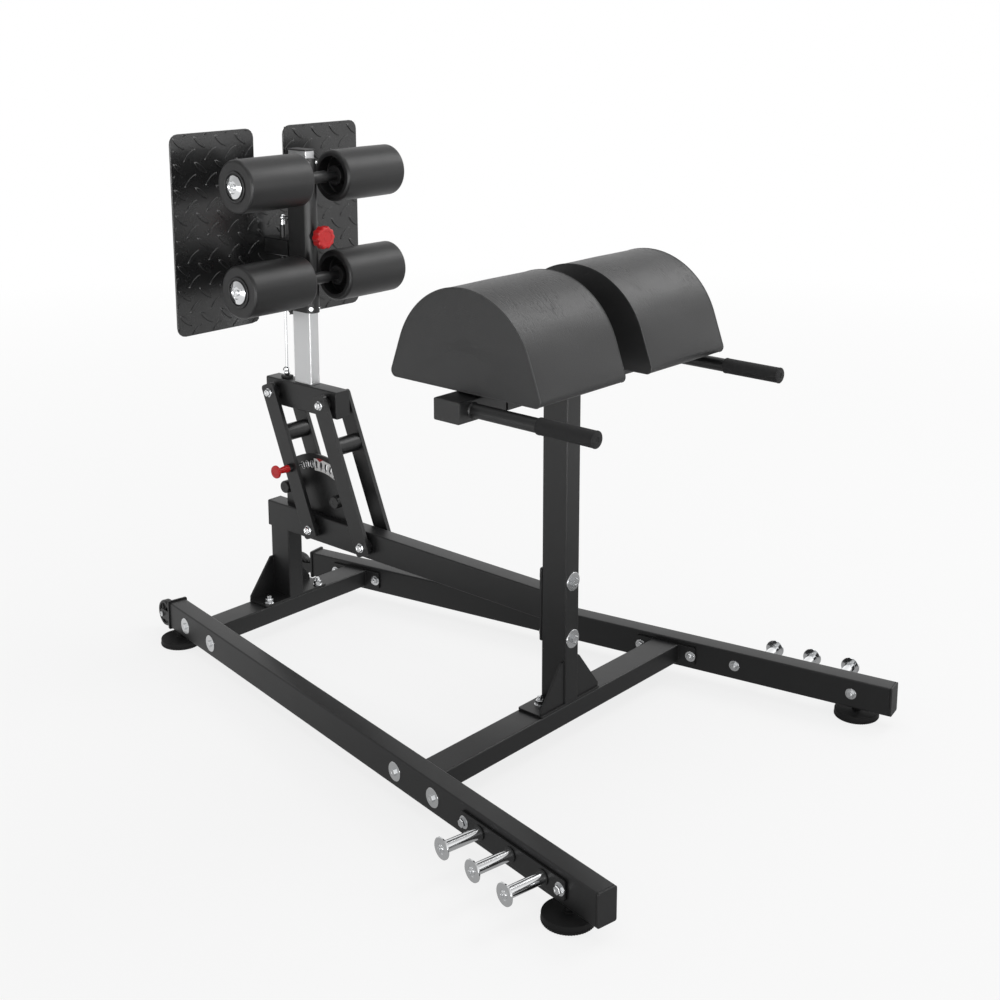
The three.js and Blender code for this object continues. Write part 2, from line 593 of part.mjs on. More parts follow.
// Base plate with two gussets, standing across the machine at x; the gussets sit at one face
function footing(x, gussetX) {
  const plate = at(bar("z", PLATE_THICKNESS - SEAT_GAP, TUBE_WIDE, BASE_PLATE_LENGTH, PLATE_CORNER),
    x, 0, CROSS_TOP + (PLATE_THICKNESS + SEAT_GAP) / 2);
  const wall = TUBE_NARROW / 2;
  const gusset = extrude(outline([
    [wall - PLATE_THICKNESS, BASE_TOP - PLATE_THICKNESS / 2],
    [wall + GUSSET_REACH, BASE_TOP - PLATE_THICKNESS / 2],
    [wall + GUSSET_REACH, BASE_TOP + GUSSET_FLAT], [wall + GUSSET_FLAT, BASE_TOP + GUSSET_HEIGHT],
    [wall - PLATE_THICKNESS, BASE_TOP + GUSSET_HEIGHT]]), PLATE_THICKNESS);
  const upright = at(along(gusset, "x"), gussetX - PLATE_THICKNESS / 2, 0, 0);
  const mirrored = upright.clone().rotateZ(Math.PI);
  return [plate, upright, at(mirrored, 2 * gussetX, 0, 0)];
}

// Front mast
const mastFace = TUBE_WIDE / 2;
const mastTube = at(bar("z", MAST_HEIGHT, TUBE_WIDE, TUBE_NARROW), 0, 0, BASE_TOP + MAST_HEIGHT / 2);
const mastBoltHeights = [-1, 1].map((side) => SPINE_MIDDLE + side * MAST_BOLT_SPACING / 2);
const mastHoles = mastBoltHeights.map((z) => at(
  rod("x", 2 * TUBE_WIDE, MAST_BOLT_RADIUS + PIN_CLEARANCE, SMALL_STEPS), 0, 0, z));
add(machine, "front_mast", cut(join(mastTube,
  ...footing(0, mastFace - PLATE_THICKNESS / 2)), ...mastHoles), "steel_black");

// Spine with its upright, footing and the flange that bolts to the mast
const spineRear = -UPRIGHT_BACK - TUBE_WIDE / 2 - SPINE_END_OVERHANG + SPINE_CAP_THICKNESS + SEAT_GAP;
const spineFront = -mastFace - SEAT_GAP - PLATE_THICKNESS / 2;
const spineTube = at(bar("x", spineFront - spineRear, TUBE_NARROW, TUBE_WIDE),
  (spineFront + spineRear) / 2, 0, SPINE_MIDDLE);
const uprightTube = at(bar("z", UPRIGHT_HEIGHT + TUBE_WIDE / 2, TUBE_WIDE, TUBE_NARROW),
  -UPRIGHT_BACK, 0, BASE_TOP + (UPRIGHT_HEIGHT + TUBE_WIDE / 2) / 2);
const spineFlange = at(bar("x", PLATE_THICKNESS, TUBE_NARROW, SPINE_FLANGE_HEIGHT),
  -mastFace - SEAT_GAP - PLATE_THICKNESS / 2, 0, SPINE_MIDDLE);
const lowerPivots = [REAR_PIVOT_X, FRONT_PIVOT_X];
const spinePivotHoles = lowerPivots.map((x) => at(
  rod("y", 2 * TUBE_WIDE, PIVOT_RADIUS + PIN_CLEARANCE, SMALL_STEPS), x, 0, SPINE_MIDDLE));
add(machine, "main_spine", cut(join(spineTube, uprightTube, spineFlange,
  ...footing(-UPRIGHT_BACK, -UPRIGHT_BACK - TUBE_WIDE / 2 + PLATE_THICKNESS / 2)),
...mastHoles, ...spinePivotHoles), "steel_black");
add(machine, "spine_end_cap", at(bar("x", SPINE_CAP_THICKNESS, TUBE_NARROW, TUBE_WIDE),
  spineRear - SEAT_GAP - SPINE_CAP_THICKNESS / 2, 0, SPINE_MIDDLE), "plastic_black");
mastBoltHeights.forEach((z, index) => {
  const grip = (TUBE_WIDE + SEAT_GAP + PLATE_THICKNESS) / 2;
  const bolt = throughBolt("x", grip + SEAT_GAP, MAST_BOLT_RADIUS, MAST_WASHER_RADIUS,
    MAST_WASHER_THICKNESS, MAST_HEAD_RADIUS, MAST_HEAD_THICKNESS);
  add(machine, `mast_bolt_${["lower", "upper"][index]}`,
    at(bolt, mastFace - grip, 0, z), "zinc");
});

// Index quadrant standing on the spine, slotted on an arc about the rear lower pivot
function polar(reach, angle) {
  return [REAR_PIVOT_X - reach * Math.sin(angle), SPINE_MIDDLE + reach * Math.cos(angle)];
}
const quadrantArc = [];
for (let k = 0; k <= QUADRANT_ARC_STEPS; k += 1) {
  const share = k / QUADRANT_ARC_STEPS;
  quadrantArc.push(polar(QUADRANT_RADIUS,
    THREE.MathUtils.lerp(QUADRANT_FRONT_ANGLE, QUADRANT_REAR_ANGLE, share)));
}
const quadrantFoot = SPINE_TOP + SEAT_GAP;
const quadrantShape = outline([
  ...quadrantArc,
  [REAR_PIVOT_X - QUADRANT_REAR_FOOT, SPINE_TOP + QUADRANT_REAR_SHOULDER],
  [REAR_PIVOT_X - QUADRANT_REAR_FOOT, quadrantFoot],
  [REAR_PIVOT_X + QUADRANT_FRONT_FOOT, quadrantFoot],
  [REAR_PIVOT_X + QUADRANT_FRONT_FOOT, SPINE_TOP + QUADRANT_FRONT_SHOULDER]]);
const quadrantPlate = at(extrude(quadrantShape, QUADRANT_THICKNESS).rotateX(Math.PI / 2),
  0, QUADRANT_THICKNESS / 2, 0);
const indexSlots = [];
for (let k = 0; k < INDEX_SLOT_COUNT; k += 1) {
  const angle = LINK_LEAN - k * INDEX_SLOT_STEP;
  const [x, z] = polar(INDEX_SLOT_ALONG, angle);
  const slot = bar("y", TUBE_NARROW, INDEX_SLOT_WIDTH, INDEX_SLOT_LENGTH, INDEX_SLOT_CORNER);
  indexSlots.push(at(slot.rotateY(-angle), x, 0, z));
}
const stops = [["rear", STOP_ANGLE], ["front", -STOP_ANGLE]].map(([name, angle]) => {
  const [x, z] = polar(STOP_ALONG, angle);
  return { name, x, z };
});
const stopHoles = stops.map(({ x, z }) => at(
  rod("y", TUBE_NARROW, STOP_BOLT_RADIUS + PIN_CLEARANCE, SMALL_STEPS), x, 0, z));
add(machine, "quadrant_plate", cut(quadrantPlate, ...indexSlots, ...stopHoles), "plate_black");
for (const { name, x, z } of stops) {
  const near = QUADRANT_THICKNESS / 2 + SEAT_GAP;
  add(machine, `stop_bumper_${name}`, at(spun("y", [
    [0, -STOP_REACH], [STOP_RADIUS, -STOP_REACH], [STOP_RADIUS, -near], [STOP_BOLT_RADIUS, -near],
    [STOP_BOLT_RADIUS, near], [STOP_NUT_RADIUS, near], [STOP_NUT_RADIUS, near + STOP_NUT_THICKNESS],
    [0, near + STOP_NUT_THICKNESS]]),
  x, 0, z), "rubber_black");
}

// Links: two flat bars tied by a round tube, with bosses that stand off the square tubes
function link(pivotX, withPin) {
  const length = LINK_LENGTH + LINK_END_ABOVE + LINK_END_BELOW;
  const strip = at(bar("y", LINK_THICKNESS, LINK_WIDTH, length, LINK_CORNER),
    0, 0, (LINK_LENGTH + LINK_END_ABOVE - LINK_END_BELOW) / 2);
  const pieces = [at(rod("y", 2 * LINK_INNER + LINK_THICKNESS, LINK_TIE_RADIUS), 0, 0, LINK_TIE_ALONG)];
  const bossLength = LINK_STANDOFF - SEAT_GAP + LINK_THICKNESS / 2;
  for (const side of [-1, 1]) {
    pieces.push(at(strip, 0, side * (LINK_INNER + LINK_THICKNESS / 2), 0));
    for (const reach of [0, LINK_LENGTH]) {
      pieces.push(at(rod("y", bossLength, BOSS_RADIUS), 0,
        side * (TUBE_NARROW / 2 + SEAT_GAP + bossLength / 2), reach));
    }
  }
  const holes = [0, LINK_LENGTH].map((reach) => at(
    rod("y", 4 * LINK_OUTER, PIVOT_RADIUS + PIN_CLEARANCE, SMALL_STEPS), 0, 0, reach));
  if (withPin) {
    const barrel = PIN_BARREL_LENGTH + LINK_THICKNESS / 2;
    pieces.push(at(rod("y", barrel, PIN_BARREL_RADIUS), 0,
      -LINK_OUTER - PIN_BARREL_LENGTH + barrel / 2, PIN_ALONG));
    holes.push(at(rod("y", 2 * PIN_BARREL_LENGTH + 4 * LINK_THICKNESS, PIN_RADIUS + PIN_CLEARANCE,
      SMALL_STEPS), 0, -LINK_OUTER, PIN_ALONG));
  }
  const frame = new THREE.Group();
  frame.position.set(pivotX, 0, SPINE_MIDDLE);
  frame.rotation.y = -LINK_LEAN;
  machine.add(frame);
  return { frame, geometry: cut(join(...pieces), ...holes) };
}
const rearLink = link(REAR_PIVOT_X, true);
add(rearLink.frame, "rear_link", rearLink.geometry, "steel_black");
const frontLink = link(FRONT_PIVOT_X, false);
add(frontLink.frame, "front_link", frontLink.geometry, "steel_black");

// Pull pin in the barrel on the right-hand bar of the rear link; its nose stops at the quadrant's face
const pinNose = -QUADRANT_THICKNESS / 2 - SEAT_GAP;
const barrelEnd = -LINK_OUTER - PIN_BARREL_LENGTH - SEAT_GAP;
const neckEnd = barrelEnd - PIN_NECK_LENGTH;
const knobEnd = neckEnd - PIN_KNOB_LENGTH;
add(rearLink.frame, "index_pin", at(spun("y", [
  [0, pinNose], [PIN_RADIUS, pinNose], [PIN_RADIUS, barrelEnd], [PIN_SHOULDER_RADIUS, barrelEnd],
  [PIN_NECK_RADIUS, neckEnd], [PIN_KNOB_RADIUS, neckEnd - PIN_KNOB_EDGE],
  [PIN_KNOB_RADIUS, knobEnd + PIN_KNOB_EDGE], [PIN_KNOB_RADIUS - PIN_KNOB_EDGE, knobEnd],
  [0, knobEnd]]), 0, 0, PIN_ALONG), "plastic_red");

// Pivot bolts, lower pair through the spine and upper pair through the head block
function pivotBolt(name, x, z) {
  add(machine, name, at(throughBolt("y", LINK_OUTER + SEAT_GAP, PIVOT_RADIUS, PIVOT_WASHER_RADIUS,
    PIVOT_WASHER_THICKNESS, PIVOT_HEAD_RADIUS, PIVOT_HEAD_THICKNESS), x, 0, z), "zinc");
}
pivotBolt("pivot_bolt_lower_rear", REAR_PIVOT_X, SPINE_MIDDLE);
pivotBolt("pivot_bolt_lower_front", FRONT_PIVOT_X, SPINE_MIDDLE);
pivotBolt("pivot_bolt_upper_rear", BLOCK_PIVOT_X, BLOCK_MIDDLE);
pivotBolt("pivot_bolt_upper_front", BLOCK_PIVOT_X + LINK_SPACING, BLOCK_MIDDLE);

// Head block with the post standing on it
const blockLength = LINK_SPACING + BLOCK_REAR_OVERHANG + BLOCK_FRONT_OVERHANG;
const blockHoles = [0, LINK_SPACING].map((reach) => at(
  rod("y", 2 * TUBE_WIDE, PIVOT_RADIUS + PIN_CLEARANCE, SMALL_STEPS),
  BLOCK_PIVOT_X + reach, 0, BLOCK_MIDDLE));
add(machine, "head_block", cut(at(bar("x", blockLength, TUBE_NARROW, TUBE_WIDE),
  BLOCK_PIVOT_X - BLOCK_REAR_OVERHANG + blockLength / 2, 0, BLOCK_MIDDLE), ...blockHoles), "steel_black");
const postHeight = POST_HEIGHT - SEAT_GAP;
add(machine, "slide_post", at(bar("z", postHeight, POST_DEPTH, POST_WIDTH, POST_CORNER),
  POST_X, 0, BLOCK_TOP + SEAT_GAP + postHeight / 2), "satin_chrome");
add(machine, "post_cap", at(bar("z", POST_CAP_THICKNESS, POST_DEPTH + 2 * POST_CAP_MARGIN,
  POST_WIDTH + 2 * POST_CAP_MARGIN, POST_CORNER),
  POST_X, 0, BLOCK_TOP + POST_HEIGHT + SEAT_GAP + POST_CAP_THICKNESS / 2), "plastic_black");

// Carriage sleeve with both roller axles and the knob's boss
const sleeve = extrude(outline([
  [CARRIAGE_REAR, -CARRIAGE_HALF_WIDTH, CARRIAGE_REAR_CORNER],
  [CARRIAGE_FRONT, -CARRIAGE_HALF_WIDTH, CARRIAGE_FRONT_CORNER],
  [CARRIAGE_FRONT, CARRIAGE_HALF_WIDTH, CARRIAGE_FRONT_CORNER],
  [CARRIAGE_REAR, CARRIAGE_HALF_WIDTH, CARRIAGE_REAR_CORNER]], 2 * CORNER_STEPS), CARRIAGE_LENGTH);
const rollerRises = [["upper", ROLLER_UPPER_RISE], ["lower", ROLLER_LOWER_RISE]];
const rollerOuter = ROLLER_INNER_OFFSET + ROLLER_LENGTH;
const axles = rollerRises.map(([, rise]) => at(
  rod("y", 2 * rollerOuter, AXLE_TUBE_RADIUS), ROLLER_X, 0, CARRIAGE_BOTTOM + rise));
const boss = at(rod("x", KNOB_NECK_LENGTH / 2 + CARRIAGE_FRONT_WALL / 2, KNOB_NECK_RADIUS),
  CARRIAGE_FRONT + KNOB_NECK_LENGTH / 4 - CARRIAGE_FRONT_WALL / 4, 0, CARRIAGE_BOTTOM + KNOB_RISE);
const postHole = at(bar("z", CARRIAGE_LENGTH + 2 * OVERRUN, POST_DEPTH + 2 * SLIDE_CLEARANCE,
  POST_WIDTH + 2 * SLIDE_CLEARANCE, POST_CORNER), POST_X, 0, CARRIAGE_MIDDLE);
const knobHole = at(rod("x", 2 * KNOB_NECK_LENGTH + 2 * CARRIAGE_FRONT_WALL, KNOB_STEM_RADIUS + PIN_CLEARANCE,
  SMALL_STEPS), CARRIAGE_FRONT, 0, CARRIAGE_BOTTOM + KNOB_RISE);
const boltHoles = [];
for (const [, rise] of rollerRises) {
  for (const side of [-1, 1]) {
    boltHoles.push(at(rod("y", 2 * (ROLLER_BOLT_LENGTH + SEAT_GAP), ROLLER_BOLT_RADIUS + PIN_CLEARANCE,
      SMALL_STEPS), ROLLER_X, side * rollerOuter, CARRIAGE_BOTTOM + rise));
  }
}
add(machine, "carriage", cut(join(at(sleeve, 0, 0, CARRIAGE_BOTTOM), ...axles, boss),
  postHole, knobHole, ...boltHoles), "steel_black");

// Star knob on the carriage front
const knobOutline = [];
for (let k = 0; k < KNOB_OUTLINE_STEPS; k += 1) {
  const angle = 2 * Math.PI * k / KNOB_OUTLINE_STEPS;
  const reach = KNOB_RADIUS - KNOB_EDGE + KNOB_LOBE_HEIGHT * Math.cos(KNOB_LOBE_COUNT * angle);
  knobOutline.push([reach * Math.cos(angle), reach * Math.sin(angle)]);
}
const knobBody = along(extrude(outline(knobOutline), KNOB_THICKNESS - 2 * KNOB_EDGE, {
  bevelEnabled: true, bevelThickness: KNOB_EDGE, bevelSize: KNOB_EDGE, bevelSegments: 1 }), "x");
const knobStart = CARRIAGE_FRONT + KNOB_NECK_LENGTH;
const neckStart = CARRIAGE_FRONT + KNOB_NECK_LENGTH / 2 + SEAT_GAP;
const stemStart = CARRIAGE_FRONT - CARRIAGE_FRONT_WALL + SEAT_GAP;
const knobNeck = at(rod("x", knobStart + KNOB_EDGE - neckStart, KNOB_NECK_RADIUS),
  (knobStart + KNOB_EDGE + neckStart) / 2, 0, 0);
const knobStem = at(rod("x", knobStart + KNOB_EDGE - stemStart, KNOB_STEM_RADIUS, SMALL_STEPS),
  (knobStart + KNOB_EDGE + stemStart) / 2, 0, 0);
add(machine, "star_knob", at(join(at(knobBody, knobStart + KNOB_EDGE, 0, 0), knobNeck, knobStem),
  0, 0, CARRIAGE_BOTTOM + KNOB_RISE), "plastic_red");

// Ankle rollers on the axles, with their end bolts
for (const [levelName, rise] of rollerRises) {
  for (const [sideName, side] of [["right", -1], ["left", 1]]) {
    const start = ROLLER_INNER_OFFSET;
    const end = rollerOuter - ROLLER_RING_HEIGHT;
    const bore = AXLE_TUBE_RADIUS + PIN_CLEARANCE;
    const bend = (radius, centreRadius, centreAlong, from, to) => [0, 1, 2, 3].map((k) => {
      const turn = THREE.MathUtils.lerp(from, to, k / 3);
      return [centreRadius + radius * Math.cos(turn), centreAlong + radius * Math.sin(turn)];
    });
    const profile = [
      [bore, start + ROLLER_HUB_INSET], [ROLLER_HUB_RADIUS, start + ROLLER_HUB_INSET],
      [ROLLER_HUB_RADIUS, start + ROLLER_RECESS_DEPTH], [ROLLER_RECESS_RADIUS, start + ROLLER_RECESS_DEPTH],
      [ROLLER_RECESS_RADIUS, start],
      ...bend(ROLLER_INNER_ROUND, ROLLER_RADIUS - ROLLER_INNER_ROUND, start + ROLLER_INNER_ROUND,
        -Math.PI / 2, 0),
      ...bend(ROLLER_OUTER_ROUND, ROLLER_RADIUS - ROLLER_OUTER_ROUND, end - ROLLER_OUTER_ROUND,
        0, Math.PI / 2),
      [ROLLER_RING_RADIUS, end], [ROLLER_RING_RADIUS, end + ROLLER_RING_HEIGHT],
      [bore, end + ROLLER_RING_HEIGHT], [bore, start + ROLLER_HUB_INSET]];
    const roller = spun("y", profile, FINE_STEPS);
    const z = CARRIAGE_BOTTOM + rise;
    add(machine, `roller_${levelName}_${sideName}`,
      at(side > 0 ? roller : roller.rotateX(Math.PI), ROLLER_X, 0, z), "foam_black");
    const seat = rollerOuter + SEAT_GAP;
    const bolt = spun("y", [
      [0, rollerOuter - ROLLER_BOLT_LENGTH], [ROLLER_BOLT_RADIUS, rollerOuter - ROLLER_BOLT_LENGTH],
      [ROLLER_BOLT_RADIUS, seat], [ROLLER_WASHER_RADIUS, seat],
      [ROLLER_WASHER_RADIUS, seat + ROLLER_WASHER_THICKNESS],
      [ROLLER_BOLT_HEAD_RADIUS, seat + ROLLER_WASHER_THICKNESS],
      [ROLLER_BOLT_HEAD_RADIUS / 2, seat + ROLLER_WASHER_THICKNESS + ROLLER_BOLT_HEAD_THICKNESS],
      [0, seat + ROLLER_WASHER_THICKNESS + ROLLER_BOLT_HEAD_THICKNESS]]);
    add(machine, `roller_bolt_${levelName}_${sideName}`,
      at(side > 0 ? bolt : bolt.rotateX(Math.PI), ROLLER_X, 0, z), "zinc");
  }
}

// Foot plate arm, bored for the gas spring, and the notched foot plate
const armStart = FOOT_PLATE_FRONT + SEAT_GAP;
const armEnd = CARRIAGE_REAR - SEAT_GAP;
const springBore = at(rod("z", 2 * ARM_HEIGHT, SPRING_BODY_RADIUS + SPRING_ARM_CLEARANCE),
  SPRING_X, 0, ARM_MIDDLE);
add(machine, "plate_arm", cut(at(bar("x", armEnd - armStart, ARM_WIDTH, ARM_HEIGHT),
  (armStart + armEnd) / 2, 0, ARM_MIDDLE), springBore), "steel_black");
const plateBottom = CARRIAGE_BOTTOM - FOOT_PLATE_DROP;
const plateTop = plateBottom + FOOT_PLATE_HEIGHT;
const plateOutline = outline([
  [-FOOT_PLATE_HALF_WIDTH, plateBottom, FOOT_PLATE_CORNER],
  [-NOTCH_HALF_WIDTH, plateBottom, FOOT_PLATE_CORNER],
  [-NOTCH_HALF_WIDTH, plateBottom + NOTCH_DEPTH, FOOT_PLATE_INNER_CORNER],
  [NOTCH_HALF_WIDTH, plateBottom + NOTCH_DEPTH, FOOT_PLATE_INNER_CORNER],
  [NOTCH_HALF_WIDTH, plateBottom, FOOT_PLATE_CORNER],
  [FOOT_PLATE_HALF_WIDTH, plateBottom, FOOT_PLATE_CORNER],
  [FOOT_PLATE_HALF_WIDTH, plateTop, FOOT_PLATE_CORNER],
  [NOTCH_HALF_WIDTH, plateTop, FOOT_PLATE_CORNER],
  [NOTCH_HALF_WIDTH, plateTop - NOTCH_DEPTH, FOOT_PLATE_INNER_CORNER],
  [-NOTCH_HALF_WIDTH, plateTop - NOTCH_DEPTH, FOOT_PLATE_INNER_CORNER],
  [-NOTCH_HALF_WIDTH, plateTop, FOOT_PLATE_CORNER],
  [-FOOT_PLATE_HALF_WIDTH, plateTop, FOOT_PLATE_CORNER]], 2 * CORNER_STEPS);
add(machine, "foot_plate", at(along(extrude(plateOutline, FOOT_PLATE_THICKNESS), "x"),
  FOOT_PLATE_FRONT - FOOT_PLATE_THICKNESS, 0, 0), "plate_black");

// Gas spring: rod on the head block, body carried by a stud on the carriage
const springBallHeight = BLOCK_TOP + SEAT_GAP + SPRING_FOOT_HEIGHT + SPRING_BALL_RISE / 2;
const rodTop = SPRING_BODY_BOTTOM + SPRING_ROD_HIDDEN;
add(machine, "gas_spring_rod", join(
  at(bar("z", SPRING_FOOT_HEIGHT, SPRING_FOOT_LENGTH, SPRING_FOOT_WIDTH, PLATE_CORNER / 2),
    SPRING_X, 0, BLOCK_TOP + SEAT_GAP + SPRING_FOOT_HEIGHT / 2),
  at(new THREE.SphereGeometry(SPRING_BALL_RADIUS, SMALL_STEPS, SMALL_STEPS / 2),
    SPRING_X, 0, springBallHeight),
  at(rod("z", rodTop - springBallHeight, SPRING_ROD_RADIUS, SMALL_STEPS),
    SPRING_X, 0, (rodTop + springBallHeight) / 2)), "chrome");
const boreTop = SPRING_BODY_TOP - SPRING_BORE_END;
const studHeight = SPRING_BODY_TOP + SPRING_FERRULE_LENGTH + SPRING_BALL_RADIUS / 2;
const studEnd = CARRIAGE_REAR - SEAT_GAP;
add(machine, "gas_spring_body", cut(join(
  at(rod("z", SPRING_BODY_LENGTH, SPRING_BODY_RADIUS),
    SPRING_X, 0, SPRING_BODY_BOTTOM + SPRING_BODY_LENGTH / 2),
  at(rod("z", SPRING_FERRULE_LENGTH + SPRING_BALL_RADIUS / 2, SPRING_FERRULE_RADIUS, SMALL_STEPS),
    SPRING_X, 0, SPRING_BODY_TOP + (SPRING_FERRULE_LENGTH + SPRING_BALL_RADIUS / 2) / 2),
  at(new THREE.SphereGeometry(SPRING_BALL_RADIUS, SMALL_STEPS, SMALL_STEPS / 2), SPRING_X, 0, studHeight),
  at(rod("x", studEnd - SPRING_X, SPRING_STUD_RADIUS, SMALL_STEPS), (studEnd + SPRING_X) / 2, 0, studHeight)),
at(rod("z", boreTop - SPRING_BODY_BOTTOM + OVERRUN, SPRING_ROD_RADIUS + SLIDE_CLEARANCE, SMALL_STEPS),
  SPRING_X, 0, (boreTop + SPRING_BODY_BOTTOM - OVERRUN) / 2)), "steel_black");

// Pad frame: crossbar, handles and the plates under the pads
const handleStart = TUBE_WIDE / 2 - TUBE_CORNER;
const handleTip = TUBE_WIDE / 2 + HANDLE_LENGTH;
const framePieces = [at(bar("y", 2 * CROSSBAR_HALF_LENGTH, TUBE_WIDE, TUBE_NARROW), 0, 0, CROSSBAR_MIDDLE)];
const handleEnd = handleTip - GRIP_END - SEAT_GAP;
const plateUnder = extrude(outline([
  [CROSSBAR_TOP - TUBE_CORNER, -TUBE_WIDE / 2 + TUBE_CORNER],
  [CROSSBAR_TOP + PAD_PLATE_THICKNESS, -TUBE_WIDE / 2 + TUBE_CORNER],
  [CROSSBAR_TOP + PAD_PLATE_THICKNESS, TUBE_WIDE / 2 + PAD_PLATE_REACH],
  [CROSSBAR_TOP + PAD_PLATE_THICKNESS - PAD_PLATE_DROP, TUBE_WIDE / 2 + PAD_PLATE_REACH],
  [CROSSBAR_TOP + PAD_PLATE_THICKNESS - PAD_PLATE_DROP, handleStart],
  [CROSSBAR_TOP - TUBE_CORNER, handleStart]]), PAD_PLATE_OUTER - PAD_PLATE_INNER);
for (const side of [-1, 1]) {
  framePieces.push(at(rod("x", handleEnd - handleStart, HANDLE_RADIUS),
    (handleEnd + handleStart) / 2, side * HANDLE_OFFSET, CROSSBAR_MIDDLE));
  framePieces.push(at(along(plateUnder, "y"), 0, side > 0 ? PAD_PLATE_INNER : -PAD_PLATE_OUTER, 0));
}
add(machine, "pad_frame", join(...framePieces), "steel_black");
const gripInner = HANDLE_RADIUS + PIN_CLEARANCE;
for (const [sideName, side] of [["right", -1], ["left", 1]]) {
  const shut = handleTip - GRIP_END;
  add(machine, `handle_grip_${sideName}`, at(spun("x", [
    [gripInner, handleTip - GRIP_LENGTH], [GRIP_RADIUS - GRIP_END / 2, handleTip - GRIP_LENGTH],
    [GRIP_RADIUS, handleTip - GRIP_LENGTH + GRIP_END / 2], [GRIP_RADIUS, handleTip - GRIP_END / 2],
    [GRIP_RADIUS - GRIP_END / 2, handleTip], [GRIP_VENT_RADIUS, handleTip], [GRIP_VENT_RADIUS, shut],
    [gripInner, shut], [gripInner, handleTip - GRIP_LENGTH]]),
  0, side * HANDLE_OFFSET, CROSSBAR_MIDDLE), "rubber_black");
}

// Thigh pads: half-round over slanted sides, edges drawn in at both ends
const arcCentre = PAD_HEIGHT - PAD_ARC_RADIUS;
const cornerReach = Math.hypot(PAD_HALF_WIDTH, arcCentre);
const touch = Math.acos(PAD_ARC_RADIUS / cornerReach) - Math.atan2(arcCentre, PAD_HALF_WIDTH);
const padPoints = [[-PAD_HALF_WIDTH, 0, PAD_CORNER], [PAD_HALF_WIDTH, 0, PAD_CORNER]];
for (let k = 0; k <= PAD_ARC_STEPS; k += 1) {
  const turn = THREE.MathUtils.lerp(touch, Math.PI - touch, k / PAD_ARC_STEPS);
  padPoints.push([PAD_ARC_RADIUS * Math.cos(turn), arcCentre + PAD_ARC_RADIUS * Math.sin(turn)]);
}
const padSolid = at(extrude(outline(padPoints), PAD_LENGTH - 2 * PAD_EDGE, {
  bevelEnabled: true, bevelThickness: PAD_EDGE, bevelSize: PAD_EDGE, bevelOffset: -PAD_EDGE,
  bevelSegments: PAD_EDGE_STEPS }), 0, 0, PAD_EDGE).rotateX(Math.PI / 2);
add(machine, "thigh_pad_right", at(padSolid, 0, -PAD_HALF_GAP, PAD_BOTTOM), "vinyl_black");
add(machine, "thigh_pad_left", at(padSolid, 0, PAD_HALF_GAP + PAD_LENGTH, PAD_BOTTOM), "vinyl_black");

export default machine;
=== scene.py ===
import logging
import math
from dataclasses import dataclass, field
from enum import Enum
from typing import Dict, List, Optional, Sequence, Tuple, Union

import bpy
from mathutils import Matrix, Vector


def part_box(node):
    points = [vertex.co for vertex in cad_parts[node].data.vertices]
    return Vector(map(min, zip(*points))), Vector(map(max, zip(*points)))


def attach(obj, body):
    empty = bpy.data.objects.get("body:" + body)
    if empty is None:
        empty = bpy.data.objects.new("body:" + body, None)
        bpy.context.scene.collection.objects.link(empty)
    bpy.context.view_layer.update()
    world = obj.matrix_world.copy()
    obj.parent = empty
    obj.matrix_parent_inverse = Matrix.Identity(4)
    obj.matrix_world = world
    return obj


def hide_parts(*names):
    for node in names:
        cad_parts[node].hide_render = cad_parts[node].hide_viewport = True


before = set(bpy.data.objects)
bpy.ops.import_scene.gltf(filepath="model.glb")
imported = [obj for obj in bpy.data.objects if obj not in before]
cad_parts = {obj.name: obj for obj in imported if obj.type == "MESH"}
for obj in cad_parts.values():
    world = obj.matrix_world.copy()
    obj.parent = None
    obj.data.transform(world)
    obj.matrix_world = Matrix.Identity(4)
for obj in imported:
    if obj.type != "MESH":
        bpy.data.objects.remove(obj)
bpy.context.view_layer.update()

LOG = logging.getLogger("glute_ham_developer")

Point = Tuple[float, float, float]
Colour = Tuple[float, float, float]
Ring = Tuple[float, float]
Solid = bpy.types.Object
Socket = bpy.types.NodeSocket

MAST_X = 0.337579
RAIL_FRONT = (MAST_X + 0.593694, 0.581619)
RAIL_SPLAY = math.radians(10.284)
RAIL_MIDDLE_Z = 0.071
SPINE_MIDDLE_Z = 0.336
EASE = 0.0008
CAP_EASE = 0.0012
SEAT_GAP = 0.0003
WHITE = (1.0, 1.0, 1.0)
FORWARD = (1.0, 0.0, 0.0)
ACROSS = (0.0, 1.0, 0.0)
TO_NEAR_SIDE = (0.0, -1.0, 0.0)
XZ = Matrix.Rotation(math.pi / 2, 4, "X")


class Side(Enum):
    """The two sides of the machine, with the sign of their Y."""

    RIGHT = -1
    LEFT = 1

    @property
    def word(self) -> str:
        """The side's name as the CAD nodes spell it."""
        return self.name.lower()

    @property
    def out(self) -> Point:
        """The direction that points out to this side."""
        return (0.0, self.value, 0.0)


class Slot(Enum):
    """Material slots of the record."""

    STEEL = "steel_black"
    PLATE = "plate_black"
    PLASTIC = "plastic_black"
    RUBBER = "rubber_black"
    FOAM = "foam_black"
    VINYL = "vinyl_black"
    CHROME = "chrome"
    SATIN = "satin_chrome"
    ZINC = "zinc"
    RED = "plastic_red"


class Sign(Enum):
    """How a printed mark is coloured."""

    PAPER = "paper"
    INK = "ink"
    POINTER = "pointer"


# Materials


